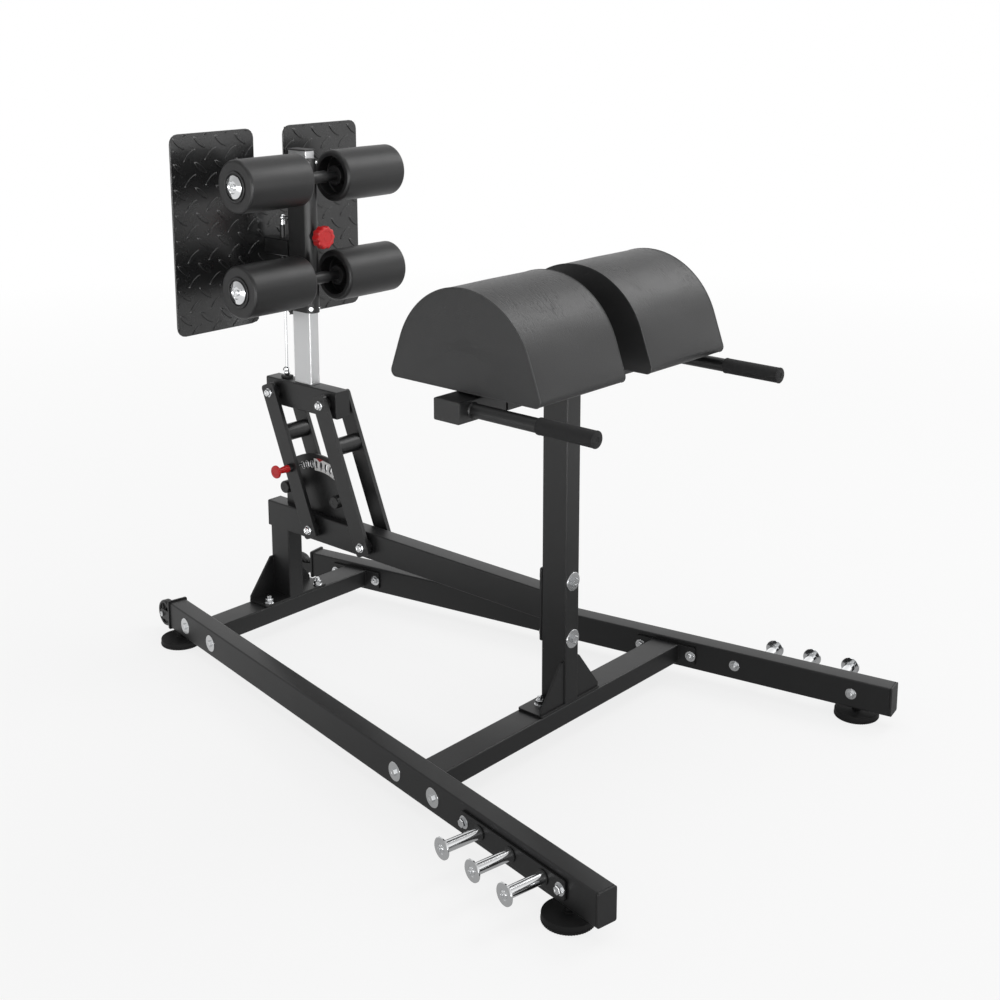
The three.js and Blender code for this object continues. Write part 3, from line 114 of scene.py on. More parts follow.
class Num:
    """A number that runs through a material; arithmetic on it adds Math nodes."""

    def __init__(self, tree: "Tree", socket: Socket) -> None:
        """Wraps an output socket that carries a number in the given tree."""
        self.tree = tree
        self.socket = socket

    def _math(self, operation: str, left: "Scalar", right: "Scalar") -> "Num":
        """Adds one Math node to the tree and gives its result."""
        node = self.tree.node("Math", {0: left, 1: right}, operation=operation)
        return Num(self.tree, node.outputs[0])

    def __add__(self, other: "Scalar") -> "Num":
        """self + other."""
        return self._math("ADD", self, other)

    def __radd__(self, other: "Scalar") -> "Num":
        """other + self."""
        return self._math("ADD", other, self)

    def __sub__(self, other: "Scalar") -> "Num":
        """self - other."""
        return self._math("SUBTRACT", self, other)

    def __rsub__(self, other: "Scalar") -> "Num":
        """other - self."""
        return self._math("SUBTRACT", other, self)

    def __mul__(self, other: "Scalar") -> "Num":
        """self * other."""
        return self._math("MULTIPLY", self, other)

    def __rmul__(self, other: "Scalar") -> "Num":
        """other * self."""
        return self._math("MULTIPLY", other, self)

    def capped(self) -> "Num":
        """This number, but never below zero."""
        return self._math("MAXIMUM", self, 0.0)


Scalar = Union[float, Num]


class Tree:
    """The node tree of a material or of the world, emptied and given its output."""

    def __init__(self, owner: bpy.types.ID, output: str) -> None:
        """Empties the tree.

        Args:
            owner: the material or world that it belongs to.
            output: the output node's type.
        """
        owner.use_nodes = True
        self.nodes = owner.node_tree.nodes
        self.links = owner.node_tree.links
        self.nodes.clear()
        self.output = self.node(output)

    def node(self, kind: str, inputs: Optional[Dict] = None, **settings: object) -> bpy.types.Node:
        """Adds a node, sets it up and then fills its sockets.

        Args:
            kind: the node's type, without the prefix that all of them share.
            inputs: values by input name or index, as feed takes them.
            settings: properties by name.

        Returns:
            The new node.
        """
        node = self.nodes.new("ShaderNode" + kind)
        for name, value in settings.items():
            setattr(node, name, value)
        for name, value in (inputs or {}).items():
            self.feed(node, name, value)
        return node

    def feed(self, node: bpy.types.Node, name: Union[str, int], value: object) -> None:
        """Links or sets one input.

        Args:
            node: the node that takes the value.
            name: the input's name or index.
            value: a number, colour, wrapped number, socket or node; None leaves the input alone.
        """
        socket = node.inputs[name]
        if isinstance(value, Num):
            self.links.new(value.socket, socket)
        elif isinstance(value, bpy.types.Node):
            self.links.new(value.outputs[0], socket)
        elif isinstance(value, bpy.types.NodeSocket):
            self.links.new(value, socket)
        elif value is not None:
            socket.default_value = (*value, 1.0) if socket.type == "RGBA" else value

    def show(self, shader: bpy.types.Node) -> None:
        """Makes a shader what the tree shows."""
        self.feed(self.output, 0, shader)

    def axes(self, vector: Socket) -> List[Num]:
        """The three coordinates of a vector."""
        return [Num(self, socket) for socket in self.node("SeparateXYZ", {0: vector}).outputs]

    def place(self, scale: Point = (1.0, 1.0, 1.0)) -> Socket:
        """Object coordinates, stretched on each axis."""
        where = self.node("TexCoord")
        return self.node("Mapping", {"Vector": where.outputs["Object"], "Scale": scale}).outputs[0]

    def noise(self, scale: float, detail: float = 2.0, roughness: float = 0.5,
              vector: Optional[Socket] = None) -> Num:
        """A noise number around 0.5.

        Args:
            scale: features per metre.
            detail: octaves.
            roughness: weight of the finer octaves.
            vector: coordinates; plain Object coordinates if left out.

        Returns:
            The noise value.
        """
        texture = self.node("TexNoise", {
            "Vector": vector or self.place(), "Scale": scale, "Detail": detail, "Roughness": roughness})
        return Num(self, texture.outputs[0])

    def cells(self, scale: float, feature: str = "DISTANCE_TO_EDGE") -> Num:
        """The chosen distance in a pattern of so many cells per metre."""
        texture = self.node("TexVoronoi", {"Vector": self.place(), "Scale": scale}, feature=feature)
        return Num(self, texture.outputs[0])

    def blend(self, factor: Scalar, low: object, high: object) -> Socket:
        """Mixes two colours: a factor of 0 gives low and 1 gives high."""
        return self.node("Mix", {0: factor, 6: low, 7: high}, data_type="RGBA").outputs[2]

    def bump(self, height: Num, depth: float, strength: float = 1.0,
             under: Optional[Socket] = None) -> Socket:
        """A surface relief, its height from 0 to 1 standing for a depth in metres, on top of another."""
        return self.node("Bump", {
            "Strength": strength, "Distance": depth, "Height": height, "Normal": under}).outputs[0]


class Paint(Tree):
    """The node tree of one material, with its principled shader."""

    def __init__(self, name: str) -> None:
        """Starts a material.

        Args:
            name: the material's name.
        """
        self.material = bpy.data.materials.new(name)
        super().__init__(self.material, "OutputMaterial")
        self.shader = self.node("BsdfPrincipled")
        self.show(self.shader)

    def shade(self, **inputs: object) -> None:
        """Feeds the shader; underscores in the names stand for spaces."""
        for name, value in inputs.items():
            self.feed(self.shader, name.replace("_", " "), value)


def scaled(colour: Colour, share: float) -> Colour:
    """The colour, lighter or darker by a share."""
    return (colour[0] * share, colour[1] * share, colour[2] * share)


@dataclass(frozen=True)
class Finish:
    """One finish of the machine: its slot in the record and how it looks."""

    name: str
    slot: Slot
    colour: Colour
    rough: float
    mottle: float = 0.06
    specular: float = 0.5

    def tone(self, tree: Paint, share: Num, spread: float = 1.0, lift: float = 1.0) -> Socket:
        """The colour, darker by a spread of mottles at a share of 0 and lighter, by lift times that, at 1."""
        step = spread * self.mottle
        return tree.blend(share, scaled(self.colour, 1 - step), scaled(self.colour, 1 + step * lift))

    def gloss(self, share: Num, reach: float) -> Num:
        """The finish's roughness, up or down by a reach as the share goes from 0 to 1."""
        return share * (2 * reach) + (self.rough - reach)

    def dress(self, tree: Paint) -> None:
        """Adds what the surface shows, as each kind of finish says."""
        raise NotImplementedError

    def material(self) -> bpy.types.Material:
        """The finish's material, made once.

        Returns:
            The material.
        """
        found = bpy.data.materials.get(self.name)
        if found:
            return found
        tree = Paint(self.name)
        self.dress(tree)
        tree.shade(Specular_IOR_Level=self.specular)
        tree.material.diffuse_color = (*self.colour, 1.0)
        return tree.material


@dataclass(frozen=True)
class PowderCoat(Finish):
    """Satin black powder coat with a fine orange peel."""

    peel: float = 650.0
    peel_depth: float = 0.00006

    def dress(self, tree: Paint) -> None:
        """Paint with a fine peel, slow clouds in its gloss and a trace of dust.

        Args:
            tree: the material's tree.
        """
        cloud = tree.noise(5.0, 4.0, 0.6)
        speck = tree.noise(1500.0, 1.0)
        tone = cloud * 0.75 + speck * 0.25
        rough = self.gloss(tree.noise(14.0, 3.0, 0.6), 0.05)
        relief = tree.noise(self.peel, 2.0, 0.45) * 0.8 + tree.noise(2400.0, 1.0) * 0.2
        tree.shade(Base_Color=self.tone(tree, tone, 2.0), Roughness=rough,
                   Normal=tree.bump(relief, self.peel_depth))


@dataclass(frozen=True)
class Vinyl(Finish):
    """Grained upholstery vinyl, a little slack and creased under the fingers."""

    grain: float = 520.0
    grain_depth: float = 0.0004
    crease_depth: float = 0.0045
    crease_from: float = 1.05

    def dress(self, tree: Paint) -> None:
        """Pebbled grain, patches of short ripples round the curve and slow clouds in the gloss.

        Args:
            tree: the material's tree.
        """
        pebble = tree.cells(self.grain) * 1.6
        fine = tree.noise(1500.0, 2.0)
        leather = tree.noise(260.0, 3.0, 0.6)
        round_way = tree.place(scale=(0.32, 1.0, 0.32))
        crown = ((tree.axes(tree.place())[2] - self.crease_from) * 12.0).capped()
        ripple = (tree.noise(230.0, 2.0, 0.55, round_way) - 0.50).capped()
        patch = (tree.noise(14.0, 2.0) - 0.40).capped()
        relief = pebble * 0.5 + fine * 0.2 + leather * 0.6
        waves = tree.bump(1.0 - ripple * patch * crown * 4.0, self.crease_depth, 0.8)
        cloud = tree.noise(9.0, 4.0, 0.6)
        tree.shade(Base_Color=self.tone(tree, cloud * 0.4 + leather * 0.6, 3.0),
                   Roughness=self.gloss(leather, 0.10),
                   Normal=tree.bump(relief, self.grain_depth, 0.9, waves))


@dataclass(frozen=True)
class Foam(Finish):
    """Moulded foam with a fine open skin."""

    pore: float = 1100.0
    pore_depth: float = 0.00030

    def dress(self, tree: Paint) -> None:
        """Fine pores with a few deeper ones, and a cloudy sheen.

        Args:
            tree: the material's tree.
        """
        pores = tree.noise(self.pore, 3.0, 0.7)
        pits = 1.0 - tree.cells(420.0, "F1")
        speck = tree.noise(1900.0, 1.0)
        cloud = tree.noise(11.0, 3.0)
        tree.shade(Base_Color=self.tone(tree, speck * 0.6 + cloud * 0.4, 3.0),
                   Roughness=self.gloss(cloud, 0.06),
                   Normal=tree.bump(pores * 0.7 + pits * 0.3, self.pore_depth))


@dataclass(frozen=True)
class Moulded(Finish):
    """Moulded plastic or rubber with a spark-eroded texture."""

    spark: float = 800.0
    spark_depth: float = 0.00005

    def dress(self, tree: Paint) -> None:
        """A fine matt texture with slow clouds in colour and gloss.

        Args:
            tree: the material's tree.
        """
        cloud = tree.noise(18.0, 3.0)
        tree.shade(Base_Color=self.tone(tree, cloud, 2.0), Roughness=self.gloss(cloud, 0.06),
                   Normal=tree.bump(tree.noise(self.spark, 2.0, 0.6), self.spark_depth))


@dataclass(frozen=True)
class Plated(Finish):
    """Bright plating: chrome or zinc, with faint clouds and wipe marks."""

    wipe: float = 0.04

    def dress(self, tree: Paint) -> None:
        """A metal whose gloss varies a little, as handling leaves it.

        Args:
            tree: the material's tree.
        """
        smear = tree.noise(26.0, 4.0, 0.65, tree.place(scale=(1.0, 1.0, 0.3)))
        cloud = tree.noise(60.0, 2.0)
        tree.shade(Base_Color=self.tone(tree, cloud, lift=0.0), Metallic=1.0,
                   Roughness=self.gloss(smear, self.wipe))


@dataclass(frozen=True)
class Brushed(Finish):
    """Satin chrome drawn lengthwise, upright in the row frame."""

    hair: float = 900.0
    hair_depth: float = 0.00002

    def dress(self, tree: Paint) -> None:
        """Long upright hairlines in gloss and relief.

        Args:
            tree: the material's tree.
        """
        lines = tree.noise(self.hair, 3.0, 0.6, tree.place(scale=(1.0, 1.0, 0.012)))
        broad = tree.noise(60.0, 2.0, 0.5, tree.place(scale=(1.0, 1.0, 0.05)))
        tree.shade(Base_Color=self.tone(tree, lines * 0.6 + broad * 0.4), Metallic=0.85,
                   Roughness=self.gloss(lines, 0.08), Normal=tree.bump(lines, self.hair_depth))


@dataclass(frozen=True)
class Glossy(Finish):
    """Glossy coloured plastic under a clear skin."""

    def dress(self, tree: Paint) -> None:
        """Even colour with a slight flow mark and a clear coat.

        Args:
            tree: the material's tree.
        """
        flow = tree.noise(40.0, 3.0, 0.6, tree.place(scale=(1.0, 0.3, 1.0)))
        tree.shade(Base_Color=self.tone(tree, flow), Roughness=self.gloss(flow, 0.06), Coat_Weight=0.15,
                   Coat_Roughness=0.15, Normal=tree.bump(tree.noise(300.0, 2.0), 0.00004))


@dataclass(frozen=True)
class Printed(Finish):
    """A printed film: paper white, ink or the pointer's red."""

    def dress(self, tree: Paint) -> None:
        """Even print with a faint tooth."""
        tooth = tree.noise(500.0, 2.0)
        tree.shade(Base_Color=self.tone(tree, tooth, lift=0.0), Roughness=self.gloss(tooth, 0.05))


POWDER = PowderCoat("powder_coat", Slot.STEEL, (0.0110, 0.0112, 0.0116), 0.38)
PLATE_COAT = PowderCoat("plate_coat", Slot.PLATE, (0.0095, 0.0097, 0.0100), 0.36,
                        peel=420.0, peel_depth=0.00005)
TREAD_COAT = PowderCoat("tread_coat", Slot.PLATE, (0.0095, 0.0097, 0.0100), 0.27, specular=0.75,
                        peel=380.0, peel_depth=0.00004)
CAP_PLASTIC = Moulded("cap_plastic", Slot.PLASTIC, (0.0190, 0.0190, 0.0195), 0.46)
RUBBER = Moulded("foot_rubber", Slot.RUBBER, (0.0090, 0.0090, 0.0092), 0.62, specular=0.32, spark=900.0)
STOP_RUBBER = Moulded("stop_rubber", Slot.RUBBER, (0.0090, 0.0090, 0.0092), 0.42, spark=900.0)
GRIP_RUBBER = Moulded("grip_rubber", Slot.RUBBER, (0.0220, 0.0220, 0.0225), 0.62, specular=0.20, spark=1300.0)
ROLLER_FOAM = Foam("roller_foam", Slot.FOAM, (0.0120, 0.0120, 0.0123), 0.41)
PAD_VINYL = Vinyl("pad_vinyl", Slot.VINYL, (0.0180, 0.0182, 0.0186), 0.41)
# The welts' lighter vinyl is a painted highlight line along the pads' rims; the cord itself is a sewn welt.
WELT_VINYL_PAINTED_HIGHLIGHT = Vinyl("welt_vinyl", Slot.VINYL, (0.0480, 0.0484, 0.0490), 0.34)
CHROME = Plated("peg_chrome", Slot.CHROME, (0.88, 0.89, 0.90), 0.12)
ROD_CHROME = Plated("rod_chrome", Slot.CHROME, (0.80, 0.81, 0.82), 0.12)
ZINC = Plated("bolt_zinc", Slot.ZINC, (0.80, 0.81, 0.82), 0.20, 0.10, wipe=0.06)
# Bare steel for the slots' rims: a bare edge that also stands as a painted glint on the slot edges.
BARE_STEEL_GLINT = Plated("bare_steel", Slot.ZINC, (0.62, 0.62, 0.63), 0.30, 0.10)
SATIN_POST = Brushed("post_satin", Slot.SATIN, (0.63, 0.635, 0.64), 0.36)
RED_KNOB = Glossy("knob_red", Slot.RED, (0.60, 0.008, 0.010), 0.42)
PRINTS = {
    Sign.PAPER: Printed("scale_paper", Slot.PLATE, (0.78, 0.78, 0.77), 0.45, 0.04),
    Sign.INK: Printed("scale_ink", Slot.PLATE, (0.010, 0.010, 0.011), 0.45, 0.04),
    Sign.POINTER: Printed("scale_pointer", Slot.RED, (0.36, 0.020, 0.022), 0.45, 0.04),
}


# Places


def aimed(origin: Sequence[float], direction: Sequence[float], spin: float = 0.0) -> Matrix:
    """A place at a point whose +Z runs along a direction, turned about it by the spin in radians."""
    turn = Vector(direction).to_track_quat("Z", "Y").to_matrix().to_4x4()
    return Matrix.Translation(origin) @ turn @ Matrix.Rotation(spin, 4, "Z")


def sweep(first: float, last: float, steps: int) -> List[float]:
    """Evenly spaced values from first to last, both included."""
    return [first + (last - first) * k / steps for k in range(steps + 1)]


def arc(middle: Ring, radius: float, angles: Sequence[float]) -> List[Ring]:
    """Points on a circle, at angles given in degrees."""
    turns = [math.radians(angle) for angle in angles]
    return [(middle[0] + radius * math.cos(t), middle[1] + radius * math.sin(t)) for t in turns]


def rings(table: Sequence[Ring], start: float, radius: float = 1.0) -> List[Ring]:
    """A turned piece's (radius, reach) rings, started at a reach and sized by a radius."""
    return [(radius * r, start + reach) for r, reach in table]


def flipped(half: Sequence[Ring]) -> List[Ring]:
    """The mirror image of a turned piece's rings, in the order that leads up to them."""
    return [(radius, -reach) for radius, reach in reversed(half)]


def even(low: float, high: float) -> List[Ring]:
    """The two levels of a slab that keeps its size."""
    return [(low, 1.0), (high, 1.0)]


def rail_place(side: Side, back: float, out: float, up: float) -> Vector:
    """A point in a rail's own frame, given in the row frame.

    Args:
        side: which rail.
        back: distance back from the rail's front end.
        out: distance outwards from the rail's centreline.
        up: height above the floor.

    Returns:
        The point.
    """
    turn = Matrix.Rotation(side.value * RAIL_SPLAY, 4, "Z")
    return Matrix.Translation((RAIL_FRONT[0], side.value * RAIL_FRONT[1], 0.0)) @ turn @ Vector(
        (-back, side.value * out, up))


def rail_out(side: Side) -> Vector:
    """The direction that points outwards from a rail."""
    return Matrix.Rotation(side.value * RAIL_SPLAY, 3, "Z") @ Vector(side.out)


def centre(node: str) -> Vector:
    """The middle of a CAD node's box."""
    low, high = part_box(node)
    return (Vector(low) + Vector(high)) / 2


# Modelling


class Shop:
    """Mesh work by operators; a finished piece has its place in its mesh and its object at the origin."""

    @staticmethod
    def clear() -> None:
        """Leaves edit mode and deselects everything."""
        if bpy.context.object and bpy.context.object.mode != "OBJECT":
            bpy.ops.object.mode_set(mode="OBJECT")
        bpy.ops.object.select_all(action="DESELECT")

    @classmethod
    def pick(cls, obj: Solid) -> None:
        """Makes one object the only one selected, and the active one."""
        cls.clear()
        obj.select_set(True)
        bpy.context.view_layer.objects.active = obj

    @staticmethod
    def linked(name: str, data: bpy.types.ID) -> Solid:
        """A new object in the scene."""
        obj = bpy.data.objects.new(name, data)
        bpy.context.scene.collection.objects.link(obj)
        return obj

    @classmethod
    def edit(cls, obj: Solid, mode: str = "FACE", action: str = "SELECT") -> None:
        """Opens an object for editing.

        Args:
            obj: the object.
            mode: VERT, EDGE or FACE selection.
            action: SELECT for all of it, DESELECT for nothing.
        """
        cls.pick(obj)
        bpy.ops.object.mode_set(mode="EDIT")
        bpy.ops.mesh.select_mode(type=mode)
        bpy.ops.mesh.select_all(action=action)

    @classmethod
    def pushed(cls, obj: Solid, levels: Sequence[Ring]) -> None:
        """Pushes a filled outline along +Z from level to level.

        Args:
            obj: the outline, which lies at the first level.
            levels: (height, size) of each level.
        """
        cls.edit(obj)
        height, size = levels[0]
        for new_height, new_size in levels[1:]:
            move = {"value": (0.0, 0.0, new_height - height)}
            bpy.ops.mesh.extrude_region_move(TRANSFORM_OT_translate=move)
            ratio = new_size / size
            if abs(ratio - 1) > 1e-6:
                bpy.ops.transform.resize(value=(ratio, ratio, 1.0), center_override=(0.0, 0.0, new_height))
            height, size = new_height, new_size
        bpy.ops.object.mode_set(mode="OBJECT")

    @classmethod
    def modifier(cls, obj: Solid, kind: str, **settings: object) -> None:
        """Adds a modifier and applies it.

        Args:
            obj: the object.
            kind: the modifier's type.
            settings: its properties.
        """
        cls.pick(obj)
        added = obj.modifiers.new(kind.title(), kind)
        for name, value in settings.items():
            setattr(added, name, value)
        bpy.ops.object.modifier_apply(modifier=added.name)

    @classmethod
    def settle(cls, obj: Solid, name: str, place: Optional[Matrix] = None, smooth: float = 35.0) -> Solid:
        """Names a piece, puts its place into its mesh and shades it.

        Args:
            obj: the object.
            name: the piece's name.
            place: where it goes, or None to leave it.
            smooth: edges sharper than this many degrees stay crisp.

        Returns:
            The same object.
        """
        cls.clear()
        obj.name = name
        obj.data.name = name
        if place is not None:
            obj.matrix_world = place @ obj.matrix_world
        cls.pick(obj)
        bpy.ops.object.transform_apply(location=True, rotation=True, scale=True)
        cls.edit(obj)
        bpy.ops.mesh.normals_make_consistent(inside=False)
        bpy.ops.object.mode_set(mode="OBJECT")
        bpy.ops.object.shade_smooth_by_angle(angle=math.radians(smooth))
        return obj

    @classmethod
    def turned(cls, name: str, shape: Sequence[Ring], place: Matrix, steps: int = 48,
               smooth: float = 35.0) -> Solid:
        """A turned solid: a filled circle pushed along its axis from ring to ring.

        Args:
            name: the piece's name.
            shape: (radius, reach along the axis) of each ring, radii above zero.
            place: where the axis goes.
            steps: sides of the circle.
            smooth: shading angle in degrees.

        Returns:
            The piece.
        """
        cls.clear()
        radius, reach = shape[0]
        bpy.ops.mesh.primitive_circle_add(vertices=steps, radius=radius, fill_type="NGON",
                                          location=(0.0, 0.0, reach))
        obj = bpy.context.object
        bpy.ops.object.transform_apply(location=True)
        cls.pushed(obj, [(reach, radius) for radius, reach in shape])
        return cls.settle(obj, name, place, smooth)

    @classmethod
    def hexed(cls, name: str, shape: Sequence[Ring], place: Matrix) -> Solid:
        """A turned solid with six flats, as a nut or a bolt's head has them."""
        return cls.turned(name, shape, place, 6, 20.0)

    @classmethod
    def slab(cls, name: str, points: Sequence[Ring], levels: Sequence[Ring],
             place: Matrix, edge: float = 0.0, smooth: float = 35.0) -> Solid:
        """A flat shape pushed along +Z: a circle whose corners are moved to an outline.

        Args:
            name: the piece's name.
            points: the outline, in order.
            levels: (height, size share) of each level, the first being where it starts.
            place: where it goes.
            edge: rounding of the rim, in metres.
            smooth: shading angle in degrees.

        Returns:
            The piece.
        """
        cls.clear()
        bpy.ops.mesh.primitive_circle_add(vertices=len(points), radius=1.0, fill_type="NGON")
        obj = bpy.context.object
        height, share = levels[0]
        for vertex, (x, y) in zip(obj.data.vertices, points):
            vertex.co = (x * share, y * share, height)
        cls.pushed(obj, levels)
        if edge:
            cls.modifier(obj, "BEVEL", width=edge, segments=2, limit_method="ANGLE",
                         angle_limit=math.radians(50))
        return cls.settle(obj, name, place, smooth)

    @staticmethod
    def rounded(length: float, width: float, corner: float) -> List[Ring]:
        """A rectangle with round corners about the origin.

        Args:
            length: size along X.
            width: size along Y.
            corner: radius of its corners.

        Returns:
            The outline's points.
        """
        points = []
        for quarter, (sx, sy) in enumerate(((1, 1), (-1, 1), (-1, -1), (1, -1))):
            middle = (sx * (length / 2 - corner), sy * (width / 2 - corner))
            points += arc(middle, corner, sweep(90 * quarter, 90 * quarter + 90, 6))
        return points

    @classmethod
    def beam(cls, name: str, size: Point, place: Matrix, corner: float) -> Solid:
        """A square bar along X: a cube with its long edges rounded and its rims eased.

        Args:
            name: the piece's name.
            size: length, width and height.
            place: where its middle goes.
            corner: radius of the long edges.

        Returns:
            The piece.
        """
        cls.clear()
        bpy.ops.mesh.primitive_cube_add(size=1.0)
        obj = bpy.context.object
        obj.scale = size
        bpy.ops.object.transform_apply(scale=True)
        cls.edit(obj, "EDGE", "DESELECT")
        bpy.ops.object.mode_set(mode="OBJECT")
        for edge in obj.data.edges:
            first, last = (obj.data.vertices[k].co.x for k in edge.vertices)
            edge.select = abs(first - last) > size[0] / 2
        bpy.ops.object.mode_set(mode="EDIT")
        bpy.ops.mesh.bevel(offset=corner, segments=4, affect="EDGES")
        bpy.ops.object.mode_set(mode="OBJECT")
        cls.modifier(obj, "BEVEL", width=min(EASE, corner / 2), segments=2, limit_method="ANGLE",
                     angle_limit=math.radians(60))
        return cls.settle(obj, name, place, 50.0)

    @classmethod
    def refined(cls, name: str, node: str, edge: float) -> Solid:
        """A CAD node's shape with merged faces, eased edges and smooth corners.

        Args:
            name: the piece's name.
            node: the CAD node.
            edge: easing of its sharp edges, in metres.

        Returns:
            The piece.
        """
        cls.clear()
        obj = cls.linked(name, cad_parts[node].data.copy())
        obj.data.materials.clear()
        cls.edit(obj, "VERT")
        bpy.ops.mesh.customdata_custom_splitnormals_clear()
        bpy.ops.mesh.remove_doubles(threshold=0.00001)
        bpy.ops.mesh.dissolve_limited(angle_limit=math.radians(0.6))
        bpy.ops.object.mode_set(mode="OBJECT")
        cls.modifier(obj, "BEVEL", width=edge, segments=2, limit_method="ANGLE",
                     angle_limit=math.radians(60), use_clamp_overlap=True)
        cls.settle(obj, name, None, 50.0)
        cls.modifier(obj, "WEIGHTED_NORMAL", keep_sharp=True, weight=80)
        return obj

    @classmethod
    def joined(cls, name: str, parts: Sequence[Solid]) -> Solid:
        """Several solids as one piece.

        Args:
            name: the piece's name.
            parts: what is joined, the first being kept.

        Returns:
            The piece.
        """
        cls.clear()
        for part in parts:
            part.select_set(True)
        bpy.context.view_layer.objects.active = parts[0]
        bpy.ops.object.join()
        parts[0].name = name
        parts[0].data.name = name
        return parts[0]

    @classmethod
    def copied(cls, source: Solid, name: str, place: Matrix) -> Solid:
        """A copy with its own mesh.

        Args:
            source: the piece to copy.
            name: the copy's name.
            place: where the copy goes, on top of the source's own place.

        Returns:
            The copy.
        """
        obj = cls.linked(name, source.data.copy())
        obj.data.name = name
        obj.data.transform(place)
        return obj

    @classmethod
    def dropped(cls, obj: Solid) -> None:
        """Removes a pattern that was only there to be copied."""
        bpy.data.objects.remove(obj, do_unlink=True)

    @classmethod
    def holed(cls, obj: Solid, tool: Solid) -> None:
        """Cuts a piece by a tool, which goes."""
        cls.modifier(obj, "BOOLEAN", operation="DIFFERENCE", object=tool, solver="EXACT")
        cls.dropped(tool)

    @classmethod
    def wire(cls, name: str, points: Sequence[Point], radius: float, closed: bool = False) -> Solid:
        """A round cord of vinyl, weld or wire along points, as a closed mesh.

        Args:
            name: the piece's name.
            points: where it runs.
            radius: its radius.
            closed: whether it ends where it starts.

        Returns:
            The piece.
        """
        cls.clear()
        curve = bpy.data.curves.new(name, "CURVE")
        curve.dimensions = "3D"
        curve.bevel_depth = radius
        curve.bevel_resolution = 2
        curve.use_fill_caps = True
        line = curve.splines.new("POLY")
        line.points.add(len(points) - 1)
        for corner, point in zip(line.points, points):
            corner.co = (*point, 1.0)
        line.use_cyclic_u = closed
        cls.pick(cls.linked(name, curve))
        bpy.ops.object.convert(target="MESH")
        return cls.settle(bpy.context.object, name, None, 60.0)


@dataclass
class Ledger:
    """Keeps what was built, and hands each piece its finish and body."""

    rows: List[Tuple[str, str, str]] = field(default_factory=list)

    def book(self, obj: Solid, body: str, finish: Finish, *nodes: str) -> Solid:
        """Finishes a piece and puts it on its body.

        Args:
            obj: the piece.
            body: the CAD body it rides on.
            finish: its finish.
            nodes: the CAD nodes it stands for.

        Returns:
            The same piece.
        """
        obj.data.materials.clear()
        obj.data.materials.append(finish.material())
        Shop.modifier(obj, "WEIGHTED_NORMAL", weight=50, keep_sharp=True)
        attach(obj, body)
        if nodes:
            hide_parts(*nodes)
        self.rows.append((obj.name, body, finish.name))
        LOG.info("%s rides on %s in %s", obj.name, body, finish.name)
        return obj


@dataclass
class Assembly:
    """A sub-assembly of the machine: it builds its pieces and books them."""

    ledger: Ledger

    def book(self, obj: Solid, body: str, finish: Finish, *nodes: str) -> Solid:
        """Books a piece in the ledger, as Ledger.book says."""
        return self.ledger.book(obj, body, finish, *nodes)

    def refine(self, name: str, node: str, body: str, finish: Finish, edge: float = EASE) -> None:
        """Books a CAD node's own shape with its sharp edges eased by so many metres."""
        self.book(Shop.refined(name, node, edge), body, finish, node)


# Fasteners


@dataclass
class Fastener:
    """A hex bolt seen from outside: washer, head with eased corners and a shallow dimple."""

    head_radius: float
    head_height: float
    washer_radius: float
    washer_height: float = 0.002
    sunk: float = 0.0012
    thread: float = 0.0
    _pattern: Optional[Solid] = None

    def pattern(self) -> Solid:
        """The bolt that all others are copied from, standing on z = 0 and pointing up.

        Returns:
            The pattern.
        """
        if self._pattern:
            return self._pattern
        w, h, r = self.washer_height, self.head_height, self.head_radius
        washer = Shop.turned("fastener_washer", [
            (self.washer_radius, -self.sunk), (self.washer_radius, w * 0.7),
            (self.washer_radius - w * 0.3, w), (r * 0.6, w)], Matrix(), 36)
        head = Shop.hexed("fastener_head", [
            (r, w - 0.0002), (r, w + h * 0.80), (r * 0.90, w + h), (r * 0.62, w + h),
            (r * 0.52, w + h * 0.86), (r * 0.2, w + h * 0.86)], Matrix())
        parts = [washer, head]
        if self.thread:
            top = w + h + self.thread
            parts.append(Shop.turned("fastener_end", [
                (r * 0.58, w + h * 0.5), (r * 0.58, top - 0.0008), (r * 0.48, top)], Matrix(), 24))
        self._pattern = Shop.joined("fastener_pattern", parts)
        return self._pattern

    def set(self, name: str, place: Sequence[float], out: Sequence[float], spin: float = 0.3) -> Solid:
        """One bolt on a point of a surface, pointing out of it, its head turned by the spin."""
        return Shop.copied(self.pattern(), name, aimed(place, out, spin))

    def done(self) -> None:
        """Removes the pattern."""
        if self._pattern:
            Shop.dropped(self._pattern)
            self._pattern = None


# Base


